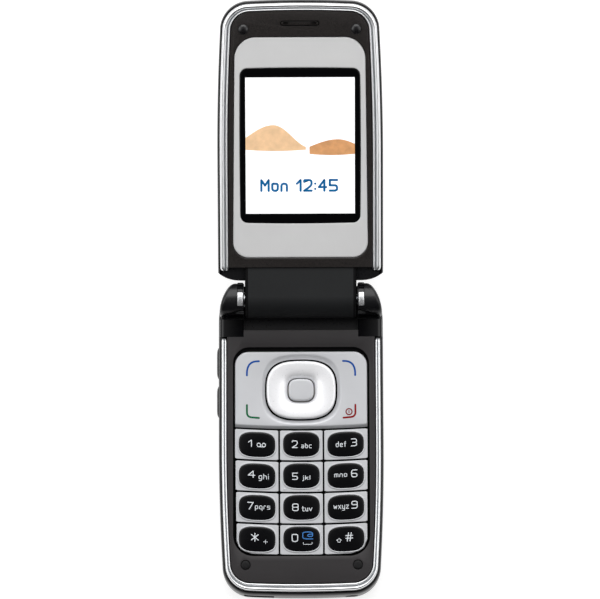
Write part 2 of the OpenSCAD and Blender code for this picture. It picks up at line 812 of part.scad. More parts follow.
module hinge_block() {
    color(graphite) in_lid() difference() {
        union() {
            translate([-barrel_w / 2, 0, 0]) rotate([90, 0, 90]) linear_extrude(barrel_w) hull() {
                circle(barrel_r);
                translate([block_end - 1, back_n + 1]) square([1, block_face_n - back_n - 1]);
            }
            block([-13, block_end - 1, tongue_n], [13, 15.2, tongue_n + 0.9]);
        }
        along_x(barrel_w / 2 - cartridge_len - fit, barrel_w / 2 + 1, cartridge_r + 0.01);
        along_x(-barrel_w / 2 - 1, -barrel_w / 2 + 7, bush_r + running_fit);
        along_x(-barrel_w / 2, flex_x1 + 0.3, flex_r + 0.4);
        block([flex_x0 - 0.3, 0, -0.5], [flex_x1 + 0.3, block_end + 1, 0.5]);
        for (x = inner_screw_x) translate([x, inner_screw_e, tongue_n - 1])
            cylinder(4, screw_r + fit, screw_r + fit);
    }
}

inner_screw_x = [-10, 10];
inner_screw_e = 12.8;

// Lid ----------------------------------------------------------------------------

module lid_plan(from, inset, step = 0) {
    intersection() {
        plan(lid_len - step, -ear_r, inset);
        translate([-width / 2, from]) square([width, lid_len]);
    }
}

module block_notch(play) {
    block([-barrel_w / 2 - play, -ear_r, -lid_t], [barrel_w / 2 + play, block_end + play, lid_t]);
}

module window_plan(play) {
    translate([0, (outer_window_start + outer_end) / 2])
        pill(outer_window_w + 2 * play, outer_end - outer_window_start + 2 * play, 7);
}

module lid_back_shell() {
    color(graphite) in_lid() difference() {
        rounded_body(lid_len, lid_start, [0, 0.25, 0.7, 1.3, 2.1, edge_round, bezel_n - 0.05 - back_n],
                     1, back_n);
        slab(back_n + wall, lid_t) intersection() {
            lid_plan(block_end + wall, edge_round - 0.6);
            plan(lid_len, -ear_r, wall);
        }
        slab(back_n + edge_round, lid_t) lid_plan(block_end + wall, wall);
        block_notch(0.3);
        // slot for the hinge block's tongue
        block([-13.2, block_end - 1, tongue_n - 0.1], [13.2, block_end + wall + 1, tongue_n + 1]);
        block([flex_x0 - 0.3, block_end - 1, -0.5], [flex_x1 + 0.3, block_end + wall + 1, 0.5]);
        // seat and opening of the outer window
        slab(back_n - 1, back_n + 0.8) window_plan(0.05);
        slab(back_n - 1, back_n + 3) window_plan(-1.2);
    }
    color(graphite) in_lid() {
        for (x = inner_screw_x) translate([x, inner_screw_e, 0])
            screw_boss(back_n + wall - 0.1, tongue_n - 0.02);
        both_sides(pad_x) translate([0, bumper_y, 0]) screw_boss(back_n + wall - 0.1, bezel_n - 0.05);
    }
}

module screw_boss(n0, n1) {
    difference() {
        translate([0, 0, n0]) cylinder(n1 - n0, 1.6, 1.6);
        translate([0, 0, n0 + 0.5]) cylinder(n1 - n0, screw_r + 0.01, screw_r + 0.01);
    }
}

module lid_bezel() {
    color(graphite) in_lid() difference() {
        union() {
            slab(bezel_n, rim_n) lid_plan(block_end, deck_inset, lid_end_step);
            slab(bezel_n, bezel_n + 0.3) lid_plan(block_end, chrome_inset);
        }
        // seat of the face plate
        slab(face_n - 0.05, rim_n + 1) face_plan(0.08);
        // opening over the display
        slab(bezel_n - 1, rim_n) translate([0, (active_start + image_end) / 2])
            square([active_w + 1, image_end - active_start + 1], center = true);
        slab(bezel_n - 1, rim_n + 1) translate([0, slot_y]) pill(slot_w + 0.2, 1.3, 0.6);
        both_sides(pad_x) translate([0, bumper_y, 0]) {
            translate([0, 0, rim_n - 0.9]) cylinder(2, bumper_r + 0.04, bumper_r + 0.04);
            translate([0, 0, bezel_n - 1]) cylinder(2.5, screw_head_r + 0.04, screw_head_r + 0.04);
        }
    }
}

module lid_chrome_frame() {
    color(chrome) in_lid() difference() {
        slab(bezel_n + 0.35, rim_n + 0.1) chrome_ring(lid_len - lid_end_step, block_end - 0.3);
        slab(rim_n - 0.3, rim_n + 1) difference() {
            plan(lid_len - lid_end_step, -ear_r - 1, chrome_inset + chrome_w * 0.42);
            plan(lid_len - lid_end_step, -ear_r - 2, chrome_inset + chrome_w * 0.6);
        }
    }
}

// Silver plate round the display window: larger corners at its top
module face_plan(play) {
    mid = (face_start + plate_end) / 2;
    h = plate_end - face_start + 2 * play;
    w = plate_w + 2 * play;
    intersection() {
        translate([0, mid - 3]) pill(w, h + 6, 5.6);
        translate([0, mid + 3]) pill(w, h + 6, 4);
    }
}

module window_edge(play) {
    translate([0, (window_start + glass_end) / 2])
        pill(window_w + 2 * play, glass_end - window_start + 2 * play, 1.8);
}

module face_plate() {
    color(silver) in_lid() slab(face_n, face_n + face_t) difference() {
        face_plan(0);
        window_edge(0.06);
    }
}

module display_window() {
    color(gloss_black) in_lid() slab(face_n + 0.02, face_n + face_t + 0.1) window_edge(0);
}

module main_display() {
    color("white") in_lid() {
        slab(display_n, bezel_n - 0.05) translate([0, (active_start + image_end) / 2])
            square([active_w + 4, image_end - active_start + 6], center = true);
        slab(bezel_n - 0.06, face_n - 0.1) translate([0, (active_start + image_end) / 2])
            square([active_w + 0.6, image_end - active_start + 0.6], center = true);
    }
}

module lid_board() {
    color("#1d6b3a") in_lid() difference() {
        slab(lid_board_n, lid_board_n + board_t) lid_plan(17.4, deck_inset + 0.4);
        both_sides(pad_x) translate([0, bumper_y, -lid_t]) cylinder(2 * lid_t, 1.9, 1.9);
    }
}

module outer_display() {
    color("#16181c") in_lid() slab(back_n + wall + 0.05, lid_board_n - 0.05)
        translate([3.4 / 2 - outer_window_w / 2, camera_e + camera_r + 5.75])
            square([outer_window_w - 3.4, outer_end - 2.75 - camera_e - camera_r - 5.75]);
}

module outer_window() {
    color(gloss_black) in_lid() difference() {
        slab(back_n, back_n + 0.75) window_plan(0);
        translate([0, camera_e, back_n - 1]) cylinder(3, camera_r + 0.05, camera_r + 0.05);
    }
}

module camera_module() {
    color("#26282c") in_lid() translate([0, camera_e, 0]) {
        block([-4.5, -4.5, back_n + 1.6], [4.5, 4.5, lid_board_n - 0.05]);
        difference() {
            translate([0, 0, back_n]) cylinder(1.7, camera_r, camera_r);
            translate([0, 0, back_n - 1]) cylinder(1.5, camera_r - 0.8, camera_r - 1.6);
        }
    }
}

module earpiece() {
    color("#3c3e42") in_lid() slab(bezel_n - 2.5, bezel_n - 0.1) translate([0, slot_y - 0.6])
        pill(slot_w + 1.5, 5.4, 2.6);
}

module earpiece_grille() {
    color("#1a1a1c") in_lid() difference() {
        slab(bezel_n + 0.02, rim_n - 0.1) translate([0, slot_y]) pill(slot_w, 1.1, 0.54);
        for (i = [-4 : 4]) translate([i * slot_w / 10, slot_y, 0]) cylinder(4, 0.25, 0.25);
    }
}

module lid_bumpers() {
    color(rubber) in_lid() both_sides(pad_x) translate([0, bumper_y, rim_n - 0.85])
        rotate_extrude() polygon(concat([[0, 0], [bumper_r, 0], [bumper_r, 0.8]],
            [for (a = [15 : 15 : 90]) [bumper_r * cos(a), 0.8 + 0.46 * sin(a)]]));
}

module lid_screw(n) {
    translate([0, 0, n - 0.02]) cylinder(0.6, screw_head_r, screw_head_r);
    translate([0, 0, n - 3.5]) cylinder(3.6, screw_r, screw_r);
}

module lid_screws() {
    color("#7c7f84") in_lid() {
        both_sides(pad_x) translate([0, bumper_y, 0]) lid_screw(bezel_n);
        for (x = inner_screw_x) translate([x, inner_screw_e, 0]) {
            translate([0, 0, tongue_n + 0.92]) cylinder(0.6, screw_head_r, screw_head_r);
            translate([0, 0, back_n + wall + 0.5])
                cylinder(tongue_n + 1 - back_n - wall - 0.5, screw_r, screw_r);
        }
    }
}

for (i = [0 : len(KEYS) - 1])
    number_key(i);
rear_shell();
front_cover();
base_chrome_frame();
hinge_ear_left();
hinge_ear_right();
ear_trims();
deck_pads();
key_mat();
dome_sheet();
main_board();
shield_cans();
sim_reader();
battery();
battery_contacts();
battery_cover();
cover_latch();
charger_jack();
system_connector();
microphone();
loudspeaker();
vibration_motor();
vibration_weight();
antenna();
base_screws();
volume_rocker();
function_plate();
navi_actuator();
navi_ring();
centre_key();
hinge_shaft();
hinge_bush();
hinge_cartridge();
hinge_flex();
hinge_block();
lid_back_shell();
lid_bezel();
lid_chrome_frame();
face_plate();
display_window();
main_display();
lid_board();
outer_display();
outer_window();
camera_module();
earpiece();
earpiece_grille();
lid_bumpers();
lid_screws();
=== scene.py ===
import math

import bmesh
import bpy
import numpy as np
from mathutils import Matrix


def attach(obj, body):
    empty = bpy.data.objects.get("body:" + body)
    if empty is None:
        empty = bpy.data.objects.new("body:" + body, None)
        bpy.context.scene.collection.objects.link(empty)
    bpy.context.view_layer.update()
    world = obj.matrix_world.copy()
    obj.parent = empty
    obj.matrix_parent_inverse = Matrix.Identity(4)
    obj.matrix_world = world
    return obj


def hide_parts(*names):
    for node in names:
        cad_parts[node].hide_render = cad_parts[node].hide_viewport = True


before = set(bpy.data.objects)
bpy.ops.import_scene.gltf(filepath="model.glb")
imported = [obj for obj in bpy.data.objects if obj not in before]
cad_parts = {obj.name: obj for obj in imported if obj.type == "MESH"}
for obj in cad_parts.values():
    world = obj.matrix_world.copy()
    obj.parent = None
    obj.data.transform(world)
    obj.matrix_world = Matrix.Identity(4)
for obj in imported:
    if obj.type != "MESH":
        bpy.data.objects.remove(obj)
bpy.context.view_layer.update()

scene = bpy.context.scene

# Camera -------------------------------------------------------------------
# A long lens over the open phone, 7.5 degrees towards the user from straight
# above the base, so that base and lid are seen at like angles. The hinge axis
# lies just below the middle of the picture, and the phone is turned a little.
MM = 0.001
HINGE_Y, HINGE_Z = 39.25, 16.0
VIEW_TILT, VIEW_ROLL = math.radians(7.5), math.radians(0.22)
VIEW_DISTANCE, VIEW_WIDTH, SENSOR = 900.0, 168.9, 36.0

view_back = np.array([0, -math.sin(VIEW_TILT), math.cos(VIEW_TILT)])
flat_up = np.array([0, math.cos(VIEW_TILT), math.sin(VIEW_TILT)])
flat_right = np.array([1.0, 0, 0])
view_right = math.cos(VIEW_ROLL) * flat_right - math.sin(VIEW_ROLL) * flat_up
view_up = math.cos(VIEW_ROLL) * flat_up + math.sin(VIEW_ROLL) * flat_right
target = np.array([0, HINGE_Y, HINGE_Z]) - 0.21 * view_right + 0.14 * view_up

camera = bpy.data.objects.new("camera", bpy.data.cameras.new("camera"))
placement = np.eye(4)
placement[:3, :4] = np.stack([view_right, view_up, view_back, (target + VIEW_DISTANCE * view_back) * MM], 1)
camera.matrix_world = placement.T.tolist()  # column by column
camera.data.sensor_width = SENSOR
camera.data.lens = SENSOR * VIEW_DISTANCE / VIEW_WIDTH
camera.data.clip_start, camera.data.clip_end = 0.01, 20
scene.collection.objects.link(camera)
scene.camera = camera
scene.view_settings.view_transform = "Standard"


# Studio -------------------------------------------------------------------
# A pale table in a light tent that is dark above and dim towards the user, so
# that flat gloss stays black and slopes pick up the bright sides. Of the three
# softboxes the one at the far side is the strongest.
def linear(code):
    """The linear colour of an sRGB hex code, with alpha 1."""
    value = np.array([int(code[i:i + 2], 16) for i in (1, 3, 5)]) / 255
    return (*np.where(value <= 0.04045, value / 12.92, ((value + 0.055) / 1.055) ** 2.4), 1.0)


def add(tree, kind, inputs={}, stops=None, **settings):
    """Adds a shader node: its own settings, then its inputs, each a value or an output to link."""
    made = tree.nodes.new("ShaderNode" + kind)
    for name, value in settings.items():
        setattr(made, name, value)
    for name, value in inputs.items():
        if isinstance(value, bpy.types.NodeSocket):
            tree.links.new(value, made.inputs[name])
        else:
            made.inputs[name].default_value = value
    if stops:
        ramp = made.color_ramp
        while len(ramp.elements) < len(stops):
            ramp.elements.new(0.5)
        for element, (place, colour) in zip(ramp.elements, stops):
            element.position, element.color = place, colour
    return made


def seen_directly(tree):
    """1 for rays from the camera, from mirrors and through glass, else 0."""
    path = add(tree, "LightPath").outputs
    direct = add(tree, "Math", {0: path["Is Camera Ray"], 1: path["Is Glossy Ray"]},
                 operation="MAXIMUM").outputs[0]
    return add(tree, "Math", {0: direct, 1: path["Is Transmission Ray"]}, operation="MAXIMUM").outputs[0]


world = bpy.data.worlds.new("light_tent")
world.use_nodes = True
scene.world = world
tent = world.node_tree
tent.nodes.clear()
TENT_LIGHT, ROOF_LIGHT, SKIRT_LIGHT, FRONT_LIGHT = 0.88, 0.03, 0.4, 0.1
across = add(tent, "SeparateXYZ", {0: add(tent, "TexCoord").outputs["Generated"]}).outputs
sideways = add(tent, "Math", {0: across["X"]}, operation="ABSOLUTE").outputs[0]
from_roof = add(tent, "Math", {0: across["Y"], 1: 0.45, 2: sideways}, operation="MULTIPLY_ADD").outputs[0]
tent_level = 1.0
for way, begin, end, least in ((from_roof, 0.08, 0.30, ROOF_LIGHT), (across["Z"], 0.0, 0.55, SKIRT_LIGHT),
                               (across["Y"], -0.75, 0.05, FRONT_LIGHT)):
    share = add(tent, "MapRange", {0: way, 1: begin, 2: end, 3: least, 4: 1.0},
                interpolation_type="SMOOTHSTEP").outputs[0]
    tent_level = add(tent, "Math", {0: tent_level, 1: share}, operation="MULTIPLY").outputs[0]
tent_level = add(tent, "Math", {0: tent_level, 1: TENT_LIGHT}, operation="MULTIPLY").outputs[0]
path = add(tent, "LightPath").outputs
shown = add(tent, "Mix", {0: path["Is Camera Ray"], 2: tent_level, 3: 1.0}, data_type="FLOAT")
light = add(tent, "Background", {"Color": (1, 1, 1, 1), "Strength": shown.outputs[0]})
add(tent, "OutputWorld", {"Surface": light.outputs[0]})

table = bpy.data.meshes.new("table")
TABLE_HALF = 3.0
table.from_pydata([(-TABLE_HALF, -TABLE_HALF, 0), (TABLE_HALF, -TABLE_HALF, 0),
                   (TABLE_HALF, TABLE_HALF, 0), (-TABLE_HALF, TABLE_HALF, 0)], [], [(0, 1, 2, 3)])
table_piece = bpy.data.objects.new("table", table)
scene.collection.objects.link(table_piece)
paper = bpy.data.materials.new("white_paper_table")
paper.use_nodes = True
tree = paper.node_tree
tree.nodes.clear()
matt = add(tree, "BsdfDiffuse", {"Color": (0.42, 0.42, 0.42, 1)})
glow = add(tree, "Emission", {"Strength": add(tree, "Math", {0: seen_directly(tree), 1: 0.75},
                                              operation="MULTIPLY").outputs[0]})
both = add(tree, "AddShader", {0: matt.outputs[0], 1: glow.outputs[0]})
add(tree, "OutputMaterial", {"Surface": both.outputs[0]})
table.materials.append(paper)

for name, place, size, power in (("left_softbox", (-0.55, 0.1, 0.6), 0.5, 1.2),
                                 ("right_softbox", (0.55, 0.1, 0.6), 0.5, 1.0),
                                 ("far_softbox", (0.0, 0.75, 0.68), 1.0, 8.0)):
    lamp = bpy.data.lights.new(name, "AREA")
    lamp.energy, lamp.size = power, size
    softbox = bpy.data.objects.new(name, lamp)
    out = np.array(place) - np.array([0, 0.039, 0.01])
    out /= np.linalg.norm(out)
    right = np.cross([0, 0, 1], out)
    right /= np.linalg.norm(right)
    placement = np.eye(4)
    placement[:3, :4] = np.stack([right, np.cross(out, right), out, place], 1)
    softbox.matrix_world = placement.T.tolist()  # column by column
    scene.collection.objects.link(softbox)


# Inner parts of the base --------------------------------------------------
# Boards, cans, battery, sockets and screws, seen only through gaps and with
# the battery cover off. They keep their solids and get their real finishes.
def surface(name, colour, roughness, grain_mm, depth_mm, spread=0.05, tint=0.06, stretch=(1, 1, 1),
            patch_mm=9.0, specular=0.5, **inputs):
    """A material whose colour and roughness drift softly from place to place, over a grain of a
    real size and depth that is a bump. Further inputs go to the Principled shader's own sockets."""
    made = bpy.data.materials.new(name)
    made.use_nodes = True
    tree = made.node_tree
    tree.nodes.clear()
    place = add(tree, "TexCoord").outputs["Object"]
    place = add(tree, "Mapping", {"Vector": place, "Scale": stretch}).outputs[0]
    drift = add(tree, "TexNoise", {"Vector": place, "Scale": 1 / (patch_mm * MM), "Detail": 3.0})
    fine = add(tree, "TexNoise", {"Vector": place, "Scale": 1 / (grain_mm * MM), "Detail": 2.0})
    base = np.array(linear(colour))
    dark, pale = base * (1 - tint), base * (1 + tint)
    dark[3] = pale[3] = 1
    shade = add(tree, "ValToRGB", {0: drift.outputs[0]}, stops=[(0.3, tuple(dark)), (0.7, tuple(pale))])
    rough = add(tree, "MapRange", {0: fine.outputs[0], 1: 0.3, 2: 0.7,
                                   3: roughness - spread, 4: roughness + spread})
    bump = add(tree, "Bump", {"Height": fine.outputs[0], "Distance": depth_mm * MM, "Strength": 1.0})
    shader = add(tree, "BsdfPrincipled", {"Base Color": shade.outputs[0], "Roughness": rough.outputs[0],
                                          "Normal": bump.outputs[0], "Specular IOR Level": specular,
                                          **inputs})
    add(tree, "OutputMaterial", {"Surface": shader.outputs[0]})
    return made


# black silicone rubber: dull, with a fine moulded grain. It also serves as painted shade, blackening walls
# and ledges in gaps where shade falls
silicone_and_shade = surface("moulded_silicone_black_and_painted_shade", "#070708", 0.62, 0.25, 0.004, specular=0.06)
# clear polyester film over metal domes: slightly glossy and yellowish
polyester = surface("polyester_film", "#d8ceb0", 0.32, 0.6, 0.003)
# green solder resist on glass fibre: glossy, the weave just shows
solder_resist = surface("solder_resist_green", "#1c6238", 0.28, 0.35, 0.004, tint=0.15)
# pressed tin plate: bright grey, faint rolling lines
tin_plate = surface("pressed_tin_plate", "#c2c4c6", 0.3, 0.4, 0.002, Metallic=1.0, stretch=(0.15, 1, 1))
# zinc plated steel screws: darker, satin
zinc_steel = surface("zinc_plated_steel", "#8a8d92", 0.34, 0.2, 0.002, Metallic=1.0)
# sintered tungsten alloy: dull grey and grainy
tungsten = surface("sintered_tungsten", "#85888c", 0.48, 0.12, 0.006, Metallic=1.0)
# printed plastic film round the battery cell: pale and nearly matt
battery_film = surface("battery_wrap_film", "#d3d3cf", 0.42, 0.5, 0.003, tint=0.04)
# gold flash over nickel
gold_flash = surface("gold_flash", "#d2a654", 0.26, 0.3, 0.001, Metallic=1.0)
# amber polyimide film of the flat cable
polyimide = surface("polyimide_film_amber", "#b86f22", 0.35, 0.4, 0.002)
# black glass-filled housings of the small bought-in parts
black_housing = surface("glass_filled_nylon_black", "#2a2b2e", 0.5, 0.18, 0.006)

KEPT = {
    silicone_and_shade: ["key_mat"],
    polyester: ["dome_sheet"],
    solder_resist: ["main_board", "lid_board"],
    tin_plate: ["shield_cans", "sim_reader", "charger_jack", "system_connector", "microphone",
                "vibration_motor", "hinge_bush", "hinge_cartridge"],
    zinc_steel: ["base_screws", "lid_screws", "hinge_shaft"],
    tungsten: ["vibration_weight"],
    battery_film: ["battery"],
    gold_flash: ["battery_contacts", "antenna"],
    polyimide: ["hinge_flex"],
    black_housing: ["loudspeaker", "navi_actuator", "outer_display", "earpiece"],
}
for kept_finish, names in KEPT.items():
    for name in names:
        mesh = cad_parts[name].data
        mesh.materials.clear()
        mesh.materials.append(kept_finish)


# Rear shell of the base ---------------------------------------------------
# The tub that carries everything, moulded in ABS and painted graphite. Its
# sides draw in towards the hinge and the free end, and its back edge is round.
WIDTH, CORNER, END_BOW = 46.4, 7.6, 0.9
SIDE_DRAW, SIDE_START = 1.0, 40.0
EAR_DRAW, EAR_R = 3.4, 4.7
FLANK_START = EAR_R + 0.4
BASE_LEN, COVER_TOP, EDGE_ROUND = 83.2, 2.9, 3.2
PARTITION = 21.0


def side_x(s, length, inset):
    """Half the width at a distance s from the hinge axis: the full half width, less a parabola
    beside the hinge and another towards the free end."""
    near = np.maximum(0, FLANK_START - s) / (FLANK_START + EAR_R)
    far = np.maximum(0, s - SIDE_START) / (length - CORNER - SIDE_START)
    return WIDTH / 2 - inset - EAR_DRAW * near ** 2 - SIDE_DRAW * far ** 2


def phone_outline(length, start, inset, steps=48):
    """Outline of a half of the phone as (across, from the hinge): up the right side, round a
    quarter circle at the corner, over the bowed end, and back down the left side."""
    corner_s = length - CORNER
    corner_x = side_x(corner_s, length, 0) - CORNER
    s = start + (corner_s - start) * np.linspace(0, 1, steps) ** 1.6
    side = np.stack([side_x(s, length, inset), s], 1)
    turn = np.radians(np.linspace(0, 90, steps // 2))[1:]
    radius = CORNER - inset
    corner = np.stack([corner_x + radius * np.cos(turn), corner_s + radius * np.sin(turn)], 1)
    x = np.linspace(corner_x, 0, steps // 3)[1:]
    right = np.concatenate([side, corner, np.stack([x, np.full(len(x), length - inset)], 1)])
    outline = np.concatenate([right, right[-2::-1] * [-1, 1]])
    outline[:, 1] -= END_BOW * (2 * outline[:, 0] / WIDTH) ** 2 * (np.maximum(0, outline[:, 1]) / length) ** 4
    return outline


def at(outline, height):
    """The outline as points in space, at one height or at a height for each point."""
    return np.column_stack([outline, np.broadcast_to(height, len(outline))])


def skin(rings, loop=False):
    """A closed mesh from rings of equal length, as quads between each ring and the next. The last
    ring joins the first, or else a face caps each end."""
    rings = np.asarray(rings, float)
    index = np.arange(rings.shape[0] * rings.shape[1]).reshape(rings.shape[:2])
    low, high = (index, np.roll(index, -1, 0)) if loop else (index[:-1], index[1:])
    quads = np.stack([low, np.roll(low, -1, 1), np.roll(high, -1, 1), high], -1).reshape(-1, 4)
    ends = [] if loop else [index[0][::-1].tolist(), index[-1].tolist()]
    return rings.reshape(-1, 3), quads.tolist() + ends


def slab(line, low, high):
    """A prism over an outline, between two heights."""
    return skin([at(line, low), at(line, high)])


def layers(line_at, levels):
    """A closed mesh through the outlines that line_at gives for pairs of a height and an inset."""
    return skin([at(line_at(inset), z) for z, inset in levels])


def together(*parts):
    """Several meshes as one."""
    points, faces, count = [], [], 0
    for some, of_them in parts:
        points.append(some)
        faces += [[i + count for i in face] for face in of_them]
        count += len(some)
    return np.concatenate(points), faces


def block(low, high):
    """A box between two corners."""
    (x0, y0, z0), (x1, y1, z1) = low, high
    return slab([(x0, y0), (x1, y0), (x1, y1), (x0, y1)], z0, z1)


def rounded(w, h, r, x=0.0, y=0.0, steps=8):
    """A rectangle round (x, y) with quarter circles at its corners, of one radius or of four, counted
    counter-clockwise from the first quadrant."""
    turn = np.radians(np.linspace(0, 90, steps + 1))
    turns = (turn + np.radians([[0], [90], [180], [270]])).ravel()
    r = np.repeat(np.broadcast_to(r, 4), steps + 1)[:, None]
    centre = np.repeat([[1, 1], [-1, 1], [-1, -1], [1, -1]], steps + 1, 0) * ([w / 2, h / 2] - r)
    return centre + r * np.stack([np.cos(turns), np.sin(turns)], 1) + [x, y]


def circle(r, x=0.0, y=0.0, steps=32):
    """A circle of points round (x, y)."""
    turn = np.linspace(0, 2 * np.pi, steps, endpoint=False)
    return np.stack([x + r * np.cos(turn), y + r * np.sin(turn)], 1)


def rod(x, y, r, z0, z1, steps=32):
    """An upright cylinder."""
    return slab(circle(r, x, y, steps), z0, z1)


def in_base(points):
    """Base places (across, from the hinge to the user, up) in mm as places of the frame in metres."""
    x, s, z = np.moveaxis(np.asarray(points, float), -1, 0)
    return np.stack([x, HINGE_Y - s, z], -1) * MM


def piece(name, shape, finish, place=in_base, crease=35):
    """A new piece in one finish: its faces turned outwards, smooth but for edges over the crease."""
    points, faces = shape
    mesh = bpy.data.meshes.new(name)
    mesh.from_pydata(place(points), [], faces)
    turned = bmesh.new()
    turned.from_mesh(mesh)
    bmesh.ops.recalc_face_normals(turned, faces=turned.faces)
    turned.to_mesh(mesh)
    turned.free()
    mesh.shade_smooth()
    mesh.set_sharp_from_angle(angle=math.radians(crease))
    mesh.materials.append(finish)
    made = bpy.data.objects.new(name, mesh)
    scene.collection.objects.link(made)
    return made


def cut(body, *cutters, place=in_base, crease=35, added=()):
    """Takes the cutters, which are closed meshes, out of a piece, and then grows it by what is added."""
    gone = [piece("cutter", cutter, body.data.materials[0], place) for cutter in (*cutters, *added)]
    for number, tool in enumerate(gone):
        change = body.modifiers.new("cut", "BOOLEAN")
        change.operation = "DIFFERENCE" if number < len(cutters) else "UNION"
        change.solver, change.object = "EXACT", tool
    bpy.context.view_layer.update()
    mesh = bpy.data.meshes.new_from_object(body.evaluated_get(bpy.context.evaluated_depsgraph_get()))
    body.modifiers.clear()
    body.data = mesh
    mesh.shade_smooth()
    mesh.set_sharp_from_angle(angle=math.radians(crease))
    for tool in gone:
        bpy.data.objects.remove(tool)


def fit_to(body, slot, *made):
    """Lets pieces ride on a body, each in the place of the solid of its name."""
    for one in made:
        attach(one, body)
        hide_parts(one.name.split(".")[0])


def finish_where(body, finish, inside):
    """Gives a further finish to the faces whose middle, in mm of the frame, lies inside."""
    middles = np.empty(len(body.data.polygons) * 3)
    body.data.polygons.foreach_get("center", middles)
    index = np.empty(len(body.data.polygons), np.int32)
    body.data.polygons.foreach_get("material_index", index)
    index[inside(*middles.reshape(-1, 3).T / MM)] = len(body.data.materials)
    body.data.materials.append(finish)
    body.data.polygons.foreach_set("material_index", index)


def edge_inset(depth):
    """How far the outline draws in at a depth from the back: a quarter circle."""
    return EDGE_ROUND * (1 - np.sqrt(1 - (1 - np.minimum(depth, EDGE_ROUND) / EDGE_ROUND) ** 2))


# painted ABS, graphite: a satin paint with a very fine orange peel
graphite = surface("painted_abs_graphite", "#121214", 0.31, 0.5, 0.0012, spread=0.04, specular=0.34)

END_SLOPE, SLOPE_START, SLOPE_RISE = 0.66, 5, 6.82  # the end wall leans in above its middle
LIP = [(10.2, 0.0), (10.8, 0.06), (11.25, 0.19), (11.6, 0.42), (11.8, 0.72), (11.82, 0.78), (11.82, 1.2)]
BASE_SCREWS = ((-18.5, 10.2), (18.5, 10.2), (-15.7, 74.5), (15.7, 74.5))
HOOKS = [(x, s) for x in (-20.2, 20.2) for s in (34, 58)]
JACK_X, JACK_Z, JACK_R = 14, 7.2, 1.79


def shell_line(z, inset):
    """The shell's outline at a height: its end leans in with the square of the way up."""
    lean = END_SLOPE * (max(0, z - SLOPE_START) / SLOPE_RISE) ** 2
    return phone_outline(BASE_LEN - lean, -EAR_R + inset, inset)


depths = EDGE_ROUND * (1 - np.cos(np.radians(np.linspace(0, 90, 12))))
levels = [(z, edge_inset(z)) for z in depths] + [(z, 0.0) for z in (5, 6.5, 8, 9.2)] + LIP
shell = piece("rear_shell", skin([at(shell_line(z, i), z) for z, i in levels]), graphite)
turn = np.linspace(0, 2 * np.pi, 32, endpoint=False)
cut(shell,
    block((-30, PARTITION, -1), (30, 90, COVER_TOP + 0.08)),  # battery cover
    slab(phone_outline(BASE_LEN - END_SLOPE, 8.5, 1.4), 7.0, 12.0),  # boards and keys
    block((-16, -3.4, 7.0), (16, 9.1, 9.4)),
    block((-16, -5.7, 10.4), (16, 8.1, 13.0)),  # hinge block
    block((-17.9, 23.6, 0), (17.9, 72.4, 6.2)),  # battery
    *[rod(x, s, 1.4, -1, 6.2) for x, s in BASE_SCREWS],
    *[block((x - 0.6, s - 0.3, 0), (x + 0.6, s + 7.3, 4.4)) for x, s in HOOKS],
    skin([np.stack([JACK_X + JACK_R * np.sin(turn), 0 * turn + s, JACK_Z + JACK_R * np.cos(turn)], 1)
          for s in (76.9, 84.2)]),
    block((-16.2, 76.7, 6.0), (-7.8, 84.3, 9.3)),  # accessory connector
    block((-24.3, 11.75, 5.7), (-21.0, 33.25, 9.5)),  # volume rocker
    block((-3.4, 15.3, -1), (3.4, 19.5, 1.4)),  # cover latch
    *[slab(rounded(0.7, 6 - abs(i), 0.34, 10.8 + 1.6 * i, 8.8), -1, 1.25) for i in range(-2, 3)],
    crease=30)
fit_to("base", "graphite_plastic", shell)


# Battery cover and its latch ----------------------------------------------
# The lower half of the back slides off towards the user. It is moulded like
# the shell, hooks under it at both sides and is held by a ribbed latch.
cover_depths = COVER_TOP * (1 - np.cos(np.radians(np.linspace(0, 90, 10))))
cover = piece("battery_cover", layers(lambda i: phone_outline(BASE_LEN, PARTITION + 0.15, i),
                                      [(z, edge_inset(z)) for z in cover_depths]), graphite)
cut(cover, slab(phone_outline(BASE_LEN, 15, EDGE_ROUND), 1.1, 4.0),
    added=[block((x - 0.4, s, 1.0), (x + 0.4, s + 3, 4.2)) for x, s in HOOKS]
    + [block((-6, 20.3, 1.35), (6, 21.3, 2.3)), block((-6, 21.15, 1.0), (6, 22.2, 2.3))])
fit_to("battery_cover", "graphite_plastic", cover)

RIB_PITCH, LATCH_HALF, LATCH_S = 0.62, 1.9, 17.4
rib_s = np.linspace(-LATCH_HALF, LATCH_HALF, 60)
rib_z = 0.32 - 0.16 * np.cos(2 * np.pi * rib_s / RIB_PITCH) * (np.abs(rib_s) < 1.55)
rib_line = np.concatenate([np.stack([rib_s, rib_z], 1), [(LATCH_HALF, 1.35), (-LATCH_HALF, 1.35)]])
ribs = np.stack([np.column_stack([np.full(len(rib_line), x), LATCH_S + rib_line[:, 0], rib_line[:, 1]])
                 for x in (-3.2, 3.2)])
latch = piece("cover_latch", together(skin(ribs), block((-4.2, 15.0, 1.35), (4.2, 19.8, 2.1))),
              graphite, crease=25)
fit_to("cover_latch", "graphite_plastic", latch)


# Key deck -----------------------------------------------------------------
# The satin front cover with the key well, and the glossy flanks that run from
# it up to the hinge ears. It is moulded ABS, screwed down at its four corners.
KEY_W, WELL_GAP, DECK_TOP = 37.3, 0.5, 13.0
DECK_INSET, DECK_START, EAR_X0 = 2.4, 8.1, 16.0
PAD_X, PAD_S = 15.7, 74.25


def fused(first, *others):
    """Joins pieces into the first, each with its own finish."""
    mesh = bmesh.new()
    finishes = []
    for one in (first, *others):
        before = len(mesh.faces)
        mesh.from_mesh(one.data)
        mesh.faces.ensure_lookup_table()
        for face in mesh.faces[before:]:
            face.material_index += len(finishes)
        finishes += list(one.data.materials)
    first.data.materials.clear()
    for finish in finishes:
        first.data.materials.append(finish)
    mesh.to_mesh(first.data)
    mesh.free()
    for one in others:
        bpy.data.objects.remove(one)
    return first


